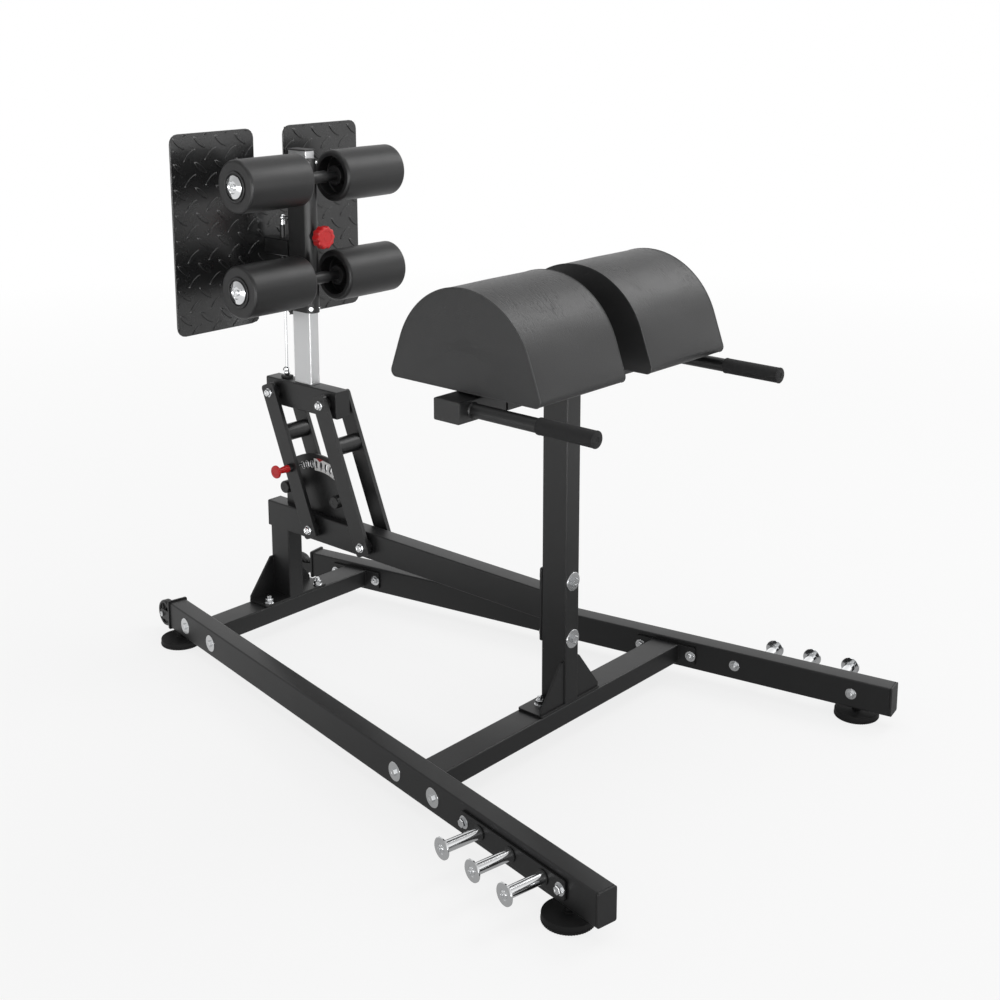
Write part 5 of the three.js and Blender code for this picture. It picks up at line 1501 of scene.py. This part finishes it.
@dataclass
class Carriage(Assembly):
    """The sleeve with its axles, arm, gas spring and knob."""

    sleeve_corner: float = 0.0195
    rear_corner: float = 0.003
    half_width: float = 0.021
    axle_radius: float = 0.0125
    spring_radius: float = 0.008
    knob_radius: float = 0.031
    knob_lobes: int = 10
    lobe: float = 0.0016
    knob_thick: float = 0.027
    screw_inset: float = 0.012
    screw_back: float = 0.0058
    screw_out: float = 0.0148
    post_gap: float = 0.0005
    wall: float = 0.0115
    boss_reach: float = 0.0103
    ball: float = 0.009

    def build(self) -> None:
        """Builds the carriage."""
        self.sleeve()
        self.axles()
        self.fittings()
        self.refine("plate_arm_tube", "plate_arm", "carriage", POWDER)
        self.spring()
        self.knob()

    def front(self) -> float:
        """The x of the sleeve's front face."""
        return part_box("slide_post")[1][0] + self.post_gap + self.wall

    def sleeve_outline(self, rear: float, front: float) -> List[Ring]:
        """The sleeve's outline seen from above: round in front and nearly square behind.

        Args:
            rear: x of its rear face.
            front: x of its front face.

        Returns:
            The outline's points.
        """
        w, tight, wide = self.half_width, self.rear_corner, self.sleeve_corner
        return (arc((rear + tight, tight - w), tight, sweep(180, 270, 3))
                + arc((front - wide, wide - w), wide, sweep(270, 360, 12))
                + arc((front - wide, w - wide), wide, sweep(0, 90, 12))
                + arc((rear + tight, w - tight), tight, sweep(90, 180, 3)))

    def sleeve(self) -> None:
        """The sleeve with the post's hollow in it."""
        bottom, top = (corner[2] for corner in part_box("carriage"))
        post_low, post_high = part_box("slide_post")
        outline = self.sleeve_outline(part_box("plate_arm")[1][0] + SEAT_GAP, self.front())
        body = Shop.slab("sleeve", outline, even(bottom, top), Matrix(), EASE, 50.0)
        size = (top - bottom + 0.02, post_high[1] - post_low[1] + 2 * self.post_gap,
                post_high[0] - post_low[0] + 2 * self.post_gap)
        middle = Matrix.Translation(((post_low[0] + post_high[0]) / 2, 0.0, (bottom + top) / 2))
        hollow = Shop.beam("hollow", size, middle @ Matrix.Rotation(math.pi / 2, 4, "Y"), 0.003)
        Shop.holed(body, hollow)
        Shop.settle(body, "sleeve", None, 50.0)
        Shop.modifier(body, "WEIGHTED_NORMAL", keep_sharp=True, weight=80)
        self.book(body, "carriage", POWDER, "carriage")
        body.name = "carriage_sleeve"

    def axles(self) -> None:
        """The rollers' axle tubes, each with a collar round the sleeve."""
        for word in ("upper", "lower"):
            spot = centre(f"roller_{word}_right")
            inner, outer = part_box(f"roller_{word}_right")[0][1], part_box(f"roller_{word}_left")[1][1]
            r, line = self.axle_radius, aimed((spot.x, 0.0, spot.z), ACROSS)
            axle = Shop.turned(f"axle_{word}", [
                (r * 0.9, inner), (r, inner + 0.001), (r, outer - 0.001), (r * 0.9, outer)], line)
            half = [(r + 0.0036, 0.0260), (r + 0.0042, 0.0290), (r + 0.0042, 0.0330), (r + 0.0010, 0.0345)]
            collar = Shop.turned(f"axle_collar_{word}", flipped(half) + half, line)
            self.book(Shop.joined(f"roller_axle_{word}", [axle, collar]), "carriage", POWDER)

    def fittings(self) -> None:
        """The boss that the knob screws into, and the small screws on the sleeve's rounded corners."""
        front = self.front()
        bottom, top = (corner[2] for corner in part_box("carriage"))
        boss = Shop.turned("knob_boss", [
            (0.0150, -0.006), (0.0150, 0.0015), (0.0120, 0.0032), (0.0120, 0.0098)],
            aimed((front, 0.0, centre("star_knob").z), FORWARD))
        self.book(boss, "carriage", POWDER)
        screw = Fastener(0.0042, 0.0026, 0.0058, 0.0009)
        for k, z in enumerate((bottom + self.screw_inset, top - self.screw_inset)):
            for side in Side:
                spot = (front - self.screw_back, side.value * self.screw_out, z)
                self.book(screw.set(f"sleeve_screw_{side.word}_{k + 1}", spot, (1.0, side.value, 0.0)),
                          "carriage", ZINC)
        screw.done()

    def spring(self) -> None:
        """The gas spring's body with its ferrule, end fitting and stud."""
        low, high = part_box("gas_spring_body")
        x, top = low[0] + self.ball, high[2] - 2 * self.ball
        r = self.spring_radius
        place = Matrix.Translation((x, 0.0, 0.0))
        barrel = Shop.turned("spring_barrel", [
            (r * 0.62, low[2]), (r * 0.92, low[2] + 0.0005), (r, low[2] + 0.002), (r, top - 0.0125),
            (r * 0.93, top - 0.0105), (r * 0.6, top - 0.0100)], place)
        self.book(barrel, "carriage", POWDER, "gas_spring_body")
        ball, ball_z = self.ball, high[2] - self.ball
        shape = rings([(0.0062, -0.0102), (0.0062, -0.003), (0.0050, -0.0015)], top)
        shape.append((0.0050, ball_z - ball * 0.8))
        shape += arc((0.0, ball_z), ball, (-50, -30, -10, 10, 30, 50, 70, 84))
        end = Shop.turned("fitting", shape, place, 36)
        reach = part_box("plate_arm")[1][0] - x
        stud = Shop.turned("stud", [(0.0048, 0.0), (0.0048, reach)], aimed((x, 0.0, ball_z), FORWARD), 24)
        self.book(Shop.joined("spring_top_fitting", [end, stud]), "carriage", ROD_CHROME)

    def knob(self) -> None:
        """The star knob: a lobed body with a dished face, its neck and threaded stem."""
        low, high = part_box("star_knob")
        z = centre("star_knob").z
        points = []
        steps = self.knob_lobes * 12
        for k in range(steps):
            turn = 2 * math.pi * k / steps
            reach = self.knob_radius - self.lobe + self.lobe * math.cos(self.knob_lobes * turn)
            points.append((reach * math.cos(turn), reach * math.sin(turn)))
        t = self.knob_thick
        body = Shop.slab("lobes", points, [
            (0.0, 0.80), (0.0012, 0.93), (0.0040, 0.995), (0.0075, 1.0), (t - 0.0075, 1.0),
            (t - 0.0035, 0.985), (t - 0.0010, 0.93), (t, 0.84), (t, 0.66), (t - 0.0012, 0.62),
            (t - 0.0012, 0.30), (t - 0.0004, 0.27), (t - 0.0004, 0.05)],
            aimed((high[0] - t, 0.0, z), FORWARD), 0.0, 40.0)
        neck_from = self.front() + self.boss_reach
        neck = Shop.turned("neck", [(0.0120, 0.0), (0.0120, high[0] - t - neck_from + 0.001)],
                           aimed((neck_from, 0.0, z), FORWARD))
        self.book(Shop.joined("clamp_knob", [body, neck]), "star_knob", RED_KNOB, "star_knob")
        root = low[0] - neck_from
        stem = Shop.turned("clamp_stem", [(0.0052, root), (0.0060, root + 0.001), (0.0060, 0.001)],
                           aimed((neck_from, 0.0, z), FORWARD), 32)
        self.book(stem, "star_knob", ZINC)


@dataclass
class Tread(Assembly):
    """The notched foot plate with raised lugs laid crosswise."""

    pitch_y: float = 0.067
    pitch_z: float = 0.066
    falling: Tuple[float, float] = (-0.2976, 1.4010)
    rising: Tuple[float, float] = (-0.2640, 1.3690)
    lean: float = 50.0
    lug_length: float = 0.050
    lug_width: float = 0.0135
    lug_height: float = 0.0024
    lug_taper: float = 1.15
    columns: int = 11
    rows: int = 10
    margin: float = 0.0035
    notch_half: float = 0.0518
    notch_depth: float = 0.150

    def build(self) -> None:
        """Builds the plate and its lugs."""
        self.refine("foot_tread_plate", "foot_plate", "carriage", TREAD_COAT, 0.0010)
        low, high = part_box("foot_plate")
        face, notch, depth = high[0], self.notch_half, self.notch_depth
        zones = (
            (low[1], -notch, low[2], high[2]), (notch, high[1], low[2], high[2]),
            (-notch, notch, low[2] + depth, high[2] - depth))
        pattern = self.lug()
        for word, (y0, y1, z0, z1) in zip(("right", "left", "middle"), zones):
            edge_y = self.margin if word != "middle" else 0.0
            lugs = self.field(pattern, face, y0, y1, z0, z1)
            piece = self.trimmed(lugs, f"tread_lugs_{word}", (y0 + edge_y, y1 - edge_y),
                                 (z0 + self.margin, z1 - self.margin))
            self.book(piece, "carriage", TREAD_COAT)
        Shop.dropped(pattern)

    def lug(self) -> Solid:
        """One lug lying in the YZ plane, standing out along +X.

        Returns:
            The pattern.
        """
        points = []
        half = 12
        for sign in (1, -1):
            for k in range(half):
                share = k / half
                along = self.lug_length / 2 * math.cos(math.pi * share) * sign
                wide = self.lug_width / 2 * math.sin(math.pi * share) ** self.lug_taper * sign
                points.append((along, wide))
        return Shop.slab("lug_pattern", points, [
            (-0.0002, 1.0), (self.lug_height * 0.60, 0.92), (self.lug_height, 0.80)],
            Matrix.Rotation(math.pi / 2, 4, "Y"), 0.0, 30.0)

    def field(self, pattern: Solid, face: float, y0: float, y1: float, z0: float,
              z1: float) -> List[Solid]:
        """The lugs that reach into one zone of the plate.

        Args:
            pattern: the lug to copy.
            face: x of the plate's face.
            y0: the zone's lower Y.
            y1: the zone's upper Y.
            z0: the zone's lower Z.
            z1: the zone's upper Z.

        Returns:
            The lugs.
        """
        lugs = []
        reach = self.lug_length * 0.4
        for (start_y, start_z), lean in ((self.falling, self.lean), (self.rising, -self.lean)):
            for column in range(-1, self.columns):
                for row in range(-1, self.rows):
                    y, z = start_y + column * self.pitch_y, start_z - row * self.pitch_z
                    if y0 - reach < y < y1 + reach and z0 - reach < z < z1 + reach:
                        place = Matrix.Translation((face, y, z)) @ Matrix.Rotation(math.radians(lean), 4, "X")
                        lugs.append(Shop.copied(pattern, "lug", place))
        return lugs

    def trimmed(self, lugs: List[Solid], name: str, across: Tuple[float, float],
                up: Tuple[float, float]) -> Solid:
        """Joins lugs and cuts them off at a zone's sides.

        Args:
            lugs: the lugs.
            name: the piece's name.
            across: lowest and highest Y kept.
            up: lowest and highest Z kept.

        Returns:
            The piece.
        """
        obj = Shop.joined(name, lugs)
        for point, normal in (
                ((0.0, across[0], 0.0), TO_NEAR_SIDE), ((0.0, across[1], 0.0), ACROSS),
                ((0.0, 0.0, up[0]), (0.0, 0.0, -1.0)), ((0.0, 0.0, up[1]), (0.0, 0.0, 1.0))):
            Shop.edit(obj, "VERT")
            bpy.ops.mesh.bisect(plane_co=point, plane_no=normal, use_fill=True, clear_outer=True)
            bpy.ops.object.mode_set(mode="OBJECT")
        return Shop.settle(obj, name, None, 30.0)


@dataclass
class Rollers(Assembly):
    """The foam ankle rollers with their end discs and bolts."""

    radius: float = 0.069
    length: float = 0.213
    outer_round: float = 0.0080
    inner_round: float = 0.0090
    recess: float = 0.051
    recess_depth: float = 0.034
    hub: float = 0.027
    disc: float = 0.040
    washer: float = 0.030
    end_gap: float = 0.002
    swell: float = 0.0004

    def build(self) -> None:
        """Builds the four rollers."""
        for word in ("upper", "lower"):
            for side in Side:
                self.roller(word, side)

    def roller(self, word: str, side: Side) -> None:
        """One roller and its bolt.

        Args:
            word: upper or lower.
            side: which side.
        """
        node = f"roller_{word}_{side.word}"
        low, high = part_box(node)
        spot = centre(node)
        inner = low[1] if side is Side.LEFT else high[1]
        place = aimed((spot.x, inner, spot.z), side.out)
        r, n = self.radius, self.length - self.end_gap
        hub, edge, deep = self.hub, self.recess, self.recess_depth
        skin = [(0.0130, 0.0125), (hub - 0.0060, 0.0125), (hub - 0.0045, 0.0105), (hub - 0.0012, 0.0105),
                (hub, 0.0120), (hub, deep), (edge - 0.002, deep), (edge, deep - 0.002), (edge, 0.0035),
                (edge + 0.0012, 0.0008)]
        near, far = self.inner_round, self.outer_round
        skin += arc((r - near, near), near, sweep(-90, 0, 6))
        for k in range(1, 12):
            skin.append((r + self.swell * math.sin(math.pi * k / 12), near + (n - near - far) * k / 12))
        skin += arc((r - far, n - far), far, sweep(0, 90, 8))
        skin += [(self.disc + 0.0035, n), (self.disc + 0.0018, n - 0.0012), (self.disc + 0.0004, n - 0.0012)]
        foam = Shop.turned(f"ankle_roller_{word}_{side.word}", skin, place, 96, 40.0)
        self.book(foam, node, ROLLER_FOAM, node)
        d, w, b = self.disc, self.washer, self.length + SEAT_GAP
        disc = Shop.turned(f"roller_disc_{word}_{side.word}", rings([
            (d, -0.003), (d, 0.0014), (d - 0.0014, 0.0026), (w + 0.0050, 0.0026), (w + 0.0040, 0.0016),
            (w + 0.0036, -0.0022), (0.014, -0.0022)], n), place, 64)
        self.book(disc, node, CAP_PLASTIC)
        bolt = Shop.turned("bolt", rings([
            (0.0050, -0.028), (0.0050, -0.0012), (w - 0.0010, -0.0010), (w, 0.0002), (w - 0.0006, 0.0010),
            (0.0180, 0.0052), (0.0168, 0.0054), (0.0158, 0.0044), (0.0148, 0.0026), (0.0088, 0.0022)], b),
            place, 64)
        head = Shop.turned("head", rings([
            (0.0084, 0.0018), (0.0084, 0.0050), (0.0074, 0.0066), (0.0052, 0.0070), (0.0044, 0.0048),
            (0.0012, 0.0046)], b), place, 36)
        self.book(Shop.joined(f"roller_end_bolt_{word}_{side.word}", [bolt, head]), "carriage", ROD_CHROME,
                  f"roller_bolt_{word}_{side.word}")


# Pads


CLOTH = {
    "quality": 6, "mass": 0.3, "tension_stiffness": 60.0, "compression_stiffness": 60.0,
    "shear_stiffness": 30.0, "bending_stiffness": 4.0, "use_pressure": True, "uniform_pressure_force": 4.0,
}


@dataclass
class PadStation(Assembly):
    """Crossbar, handles, support plates, grips and the two half-round thigh pads."""

    bar_size: Point = (0.075, 0.786, 0.050)
    cap: float = 0.003
    middle_z: float = 0.9038
    top_z: float = 0.9288
    handle_y: float = 0.348
    handle_radius: float = 0.016
    handle_tip: float = 0.3735
    grip_radius: float = 0.019
    grip_length: float = 0.151
    plate_rear: float = -0.0335
    plate_reach: float = 0.111
    plate_bend: float = 0.007
    plate_inner: float = 0.060
    plate_outer: float = 0.319
    plate_thick: float = 0.006
    plate_drop: float = 0.024
    half_width: float = 0.226
    height: float = 0.230
    run: float = 0.2937
    crown: float = 0.203
    corner: float = 0.015
    row: float = 0.012
    cap_rows: int = 10
    cap_core: float = 0.10
    cap_middle: float = 0.45
    slack: float = 0.001
    swell_cap: float = 0.005
    swell_frames: int = 20
    seam: float = 0.0017
    welt: float = 0.0013
    welt_sink: float = 0.0004
    uneven: float = 0.0005
    uneven_from: float = 0.05
    uneven_waves: Tuple[float, float, float, float] = (37.0, 11.0, 23.0, 5.0)
    core_height: float = 0.03

    def build(self) -> None:
        """Builds the pad station."""
        self.frame()
        self.grips()
        low = {side: Vector(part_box(f"thigh_pad_{side.word}")[0]) for side in Side}
        cover, welts = self.cover(low[Side.RIGHT])
        for side in Side:
            place = Matrix.Translation((0.0, low[side].y - low[Side.RIGHT].y, 0.0))
            pad = Shop.copied(cover, f"pad_cover_{side.word}", place)
            self.book(pad, "base", PAD_VINYL, f"thigh_pad_{side.word}")
            # the welt's lighter colour is a painted highlight along the pad's rim
            self.book(Shop.copied(welts, f"pad_welt_{side.word}", place), "base", WELT_VINYL_PAINTED_HIGHLIGHT)
        Shop.dropped(cover)
        Shop.dropped(welts)

    def frame(self) -> None:
        """The crossbar with its caps, the handles and the folded plates under the pads."""
        deep, wide, tall = self.bar_size
        turn = Matrix.Rotation(math.pi / 2, 4, "Z")
        parts = [Shop.beam("bar", (wide - 2 * self.cap, deep, tall),
                           Matrix.Translation((MAST_X, 0.0, self.middle_z)) @ turn, 0.004)]
        r = self.handle_radius
        weld = [(r + 0.0022, -0.002), (r + 0.0022, 0.0006), (r + 0.0004, 0.0030), (r, 0.0034)]
        shape = rings(weld, deep / 2) + [(r, self.handle_tip - 0.0045)]
        for side in Side:
            place = aimed((MAST_X, side.value * self.handle_y, self.middle_z), FORWARD)
            parts += [Shop.turned("rod", shape, place), self.folded_plate(side)]
        self.book(Shop.joined("pad_crossbar", parts), "base", POWDER, "pad_frame")
        for side in Side:
            y = side.value * (wide / 2 - self.cap / 2)
            cap = Shop.beam(f"crossbar_cap_{side.word}", (self.cap, deep - 2 * SEAT_GAP, tall - 2 * SEAT_GAP),
                            Matrix.Translation((MAST_X, y, self.middle_z)) @ turn, 0.0035)
            self.book(cap, "base", CAP_PLASTIC)

    def folded_plate(self, side: Side) -> Solid:
        """The plate under one pad with its front edge turned down.

        Args:
            side: which side.

        Returns:
            The plate.
        """
        t, bend = self.plate_thick, self.plate_bend
        top, lower = self.top_z + t, self.top_z - 0.0004
        outline = [(self.plate_rear, lower), (self.plate_rear, top)]
        outline += arc((self.plate_reach - bend, top - bend), bend, sweep(90, 0, 5))
        outline += [(self.plate_reach, top - self.plate_drop), (self.plate_reach - t, top - self.plate_drop),
                    (self.plate_reach - t, lower)]
        run = self.plate_outer - self.plate_inner
        start = self.plate_inner if side is Side.LEFT else -self.plate_outer
        place = Matrix.Translation((MAST_X, start + run, 0.0)) @ XZ
        return Shop.slab("folded", outline, even(0.0, run), place, 0.0, 30.0)

    def grips(self) -> None:
        """The rubber grips with a lip at each end."""
        r, tip = self.grip_radius, self.handle_tip
        root = rings([(self.handle_radius + SEAT_GAP, 0.0), (r - 0.0014, 0.0), (r - 0.0002, 0.0012),
                      (r, 0.004), (r - 0.0006, 0.006)], tip - self.grip_length)
        end = rings([(r - 0.0006, -0.006), (r, -0.004), (r - 0.0002, -0.0016), (r - 0.0022, 0.0),
                     (0.0060, 0.0), (0.0048, -0.0014), (0.0036, -0.0016)], tip)
        for side in Side:
            grip = Shop.turned(f"hand_grip_{side.word}", root + end,
                               aimed((MAST_X, side.value * self.handle_y, self.middle_z), FORWARD), 64, 40.0)
            self.book(grip, "base", GRIP_RUBBER, f"handle_grip_{side.word}")

    def profile(self, inset: float) -> List[Ring]:
        """The pad seen from the side: flat bottom, slanted sides and a half-round top.

        Args:
            inset: how far the outline is drawn in.

        Returns:
            The outline's points, from the right end of the round top.
        """
        rise = self.height - self.crown
        reach = math.hypot(self.half_width, rise)
        touch = math.acos(self.crown / reach) - math.atan2(rise, self.half_width)
        lean = math.degrees(touch)
        inner = self.half_width - self.corner / math.tan((math.pi / 2 - touch) / 2)
        points = arc((0.0, rise), self.crown - inset, sweep(lean, 180 - lean, 60))
        for sign, first, last in ((-1, 180 - lean, 270), (1, 270, 360 + lean)):
            points += arc((sign * inner, self.corner), self.corner - inset, sweep(first, last, 6))
        spread = []
        for a, b in zip(points, points[1:] + points[:1]):
            count = max(1, round(math.dist(a, b) / self.row))
            for k in range(count):
                spread.append((a[0] + (b[0] - a[0]) * k / count, a[1] + (b[1] - a[1]) * k / count))
        return spread

    def cover(self, low: Vector) -> Tuple[Solid, Solid]:
        """The right pad's cover, swollen tight, and the welts sewn along both its rims, their vinyl lighter
        than the cover's as a painted highlight line.

        Args:
            low: the lowest corner of the pad's box.

        Returns:
            The cover and its welts.
        """
        length = self.run
        drop = self.height * self.cap_middle
        outline = [(px, pz - drop) for px, pz in self.profile(self.slack)]
        shares = sweep(self.cap_core, 1.0, self.cap_rows)
        rows = round(length / self.row)
        levels = [(self.slack, share) for share in shares]
        levels += [(self.slack + (length - 2 * self.slack) * k / rows, 1.0) for k in range(1, rows + 1)]
        levels += [(length - self.slack, share) for share in reversed(shares[:-1])]
        place = Matrix.Translation((MAST_X, low.y + length, low.z + drop)) @ XZ
        cover = Shop.slab("pad_cover", outline, levels, place, 0.0, 55.0)
        self.swell(cover, low.z, (self.cap_rows, self.cap_rows + rows), len(outline))
        self.soften(cover, low)
        Shop.modifier(cover, "BEVEL", width=self.seam, segments=3, limit_method="ANGLE",
                      angle_limit=math.radians(50))
        Shop.settle(cover, "pad_cover", None, 60.0)
        welts = []
        sink = self.slack + self.welt_sink
        for y in (low.y + sink, low.y + length - sink):
            ring = [(MAST_X + px, y, low.z + pz) for px, pz in self.profile(sink)]
            welts.append(Shop.wire("welt", ring, self.welt, True))
        return cover, Shop.joined("pad_welts", welts)

    def swell(self, obj: Solid, bottom: float, rims: Tuple[int, int], ring: int) -> None:
        """Swells the cover by cloth under pressure from inside, its rims and underside held.

        Args:
            obj: the cover.
            bottom: height of its underside.
            rims: the rows that are sewn rims.
            ring: points in a row.
        """
        scene = bpy.context.scene
        before = [vertex.co.copy() for vertex in obj.data.vertices]
        held = obj.vertex_groups.new(name="held")
        held.add([vertex.index for vertex in obj.data.vertices
                  if vertex.index // ring in rims or vertex.co.z < bottom + 2 * self.slack], 1.0, "REPLACE")
        Shop.pick(obj)
        cloth = obj.modifiers.new("Cloth", "CLOTH")
        for name, value in CLOTH.items():
            setattr(cloth.settings, name, value)
        cloth.settings.effector_weights.gravity = 0.0
        cloth.settings.vertex_group_mass = held.name
        for number in range(1, self.swell_frames + 1):
            scene.frame_set(number)
        bpy.ops.object.modifier_apply(modifier=cloth.name)
        scene.frame_set(1)
        moves = []
        for vertex, start in zip(obj.data.vertices, before):
            move = vertex.co - start
            moves.append(move.length)
            if move.length > self.swell_cap:
                vertex.co = start + move.normalized() * self.swell_cap
        LOG.info("the cover swells by %.4f m at most before its cap", max(moves))
        obj.vertex_groups.clear()

    def soften(self, obj: Solid, low: Vector) -> None:
        """Moves the cover's points a little, as uneven foam does under stretched vinyl.

        Args:
            obj: the cover.
            low: the lowest corner of the pad's box.
        """
        a, b, c, d = self.uneven_waves
        for vertex in obj.data.vertices:
            co = vertex.co
            share = (co.y - low.y) / self.run
            up = max(0.0, (co.z - low.z) / self.height)
            slack = math.sin(math.pi * min(1.0, max(0.0, share)))
            wave = math.sin(a * co.x + b * co.y) * math.sin(c * co.y + d * co.z)
            away = Vector((co.x - MAST_X, 0.0, co.z - low.z - self.core_height))
            if away.length > self.uneven_from and co.z > low.z + 2 * self.slack:
                vertex.co = co + away.normalized() * (self.uneven * wave * slack * up)


# Studio


@dataclass
class Studio:
    """Floor, world, lamps and the camera, lit evenly as for a catalogue picture."""

    camera_at: Point = (MAST_X + 2.15873, -2.66515, 1.77885)
    yaw: float = 41.43
    pitch: float = 12.17
    sensor: float = 36.0
    focal: float = 1.5186
    shift: float = -0.18
    floor_size: float = 40.0
    sky: float = 0.90
    sky_tilt: Tuple[float, float] = (0.12, 0.34)
    zenith: float = 0.84
    sky_front: float = 3.5
    sky_edge: float = 0.80
    sky_turn: float = 0.707
    floor_white: float = 0.80
    # floor_far, floor_near, ring_scale, floor_tilt and floor_edge set the floor's painted glow as reflections
    # see it.
    floor_far: float = 0.85
    floor_near: float = 0.32
    fade_scale: float = 0.16
    floor_shown: float = 0.22
    ring_scale: float = 0.34
    floor_tilt: float = 0.30
    floor_edge: float = 2.0

    def build(self) -> None:
        """Builds the studio."""
        self.camera()
        self.world()
        self.floor()
        self.lamps()

    def camera(self) -> None:
        """The camera at the photograph's viewing angle."""
        data = bpy.data.cameras.new("camera")
        data.sensor_width = self.sensor
        data.lens = self.focal * self.sensor
        data.shift_y = self.shift
        data.clip_end = 100.0
        obj = Shop.linked("camera", data)
        obj.location = self.camera_at
        obj.rotation_euler = (math.radians(90.0 - self.pitch), 0.0, math.radians(self.yaw))
        bpy.context.scene.camera = obj

    def world(self) -> None:
        """A soft light all round, dimmer overhead, that shows as white behind the machine."""
        world = bpy.data.worlds.new("studio")
        bpy.context.scene.world = world
        sky = Tree(world, "OutputWorld")
        x, y, z = sky.axes(sky.node("TexCoord").outputs["Generated"])
        rise = z.capped()
        front = ((x - y) * self.sky_turn - self.sky_edge).capped() * self.sky_front
        side = x * self.sky_tilt[0] + y * self.sky_tilt[1]
        level = (side + self.sky + front) * (1.0 - rise * rise * self.zenith)
        soft = sky.node("Background", {0: WHITE, 1: level})
        white = sky.node("Background", {0: WHITE, 1: 1.0})
        path = sky.node("LightPath")
        sky.show(sky.node("MixShader", {0: path.outputs["Is Camera Ray"], 1: soft, 2: white}))

    def floor(self) -> None:
        """A pale floor that keeps the machine's soft shadow and fades to white far away; reflections see it
        as a glowing sheet, a painted reflection with painted shade round the machine and a painted bright
        patch on the camera's side.
        """
        Shop.clear()
        bpy.ops.mesh.primitive_circle_add(vertices=64, radius=self.floor_size, fill_type="NGON")
        floor = bpy.context.object
        floor.name = "studio_floor"
        tree = Paint("studio_floor")
        tree.shade(Base_Color=(self.floor_white,) * 3, Roughness=0.9, Specular_IOR_Level=0.0)
        path = tree.node("LightPath")
        x, y, _ = tree.axes(tree.place())
        near, close = (Num(tree, tree.node("TexGradient", {0: tree.place((scale,) * 3)},
                                           gradient_type="SPHERICAL").outputs[1])
                       for scale in (self.fade_scale, self.ring_scale))
        seen = tree.node("MixShader", {
            0: Num(tree, path.outputs["Is Camera Ray"]) * (1.0 - near * self.floor_shown), 1: tree.shader,
            2: tree.node("Emission", {0: WHITE, 1: 1.0})})
        # painted shade: the floor's glow in reflections is dimmed in a ring round the machine, more so
        # towards +X
        painted_reflection_shade = close * (x * self.floor_tilt + (self.floor_far - self.floor_near))
        # painted highlight: the glow is brighter towards the camera's side, for the glints along tube edges
        front = (x - y - self.floor_edge).capped() * 0.5
        # painted reflection: glossy rays see the floor as this glowing sheet instead of lit floor
        mirror = tree.node("Emission", {0: WHITE, 1: self.floor_far - painted_reflection_shade + front})
        tree.show(tree.node("MixShader", {0: path.outputs["Is Glossy Ray"], 1: seen, 2: mirror}))
        floor.data.materials.append(tree.material)

    def lamps(self) -> None:
        """A broad soft lamp behind and above the pads, and a faint one overhead for the shadow."""
        for name, place, aim, size, power in (
                ("window", (MAST_X + 0.85, 3.0, 3.75), (MAST_X - 0.1, 0.0, 1.0), 2.0, 48.0),
                ("overhead", (MAST_X - 0.3, -0.2, 4.2), (MAST_X - 0.3, 0.0, 0.4), 3.0, 40.0)):
            data = bpy.data.lights.new(name, "AREA")
            data.shape = "SQUARE"
            data.size = size
            data.energy = power
            obj = Shop.linked(name, data)
            obj.location = place
            obj.rotation_euler = (Vector(aim) - Vector(place)).to_track_quat("-Z", "Y").to_euler()


def main() -> None:
    """Builds the machine and the studio, and reports what was made."""
    logging.basicConfig(level=logging.INFO, format="%(name)s: %(message)s")
    scene = bpy.context.scene
    scene.view_settings.view_transform = "Standard"
    Studio().build()
    ledger = Ledger()
    for kind in (Base, Frame, Linkage, Head, Carriage, Tread, Rollers, PadStation):
        before = len(ledger.rows)
        kind(ledger).build()
        LOG.info("%s: %d pieces", kind.__name__, len(ledger.rows) - before)
    Shop.clear()


if __name__ == "__main__":
    main()
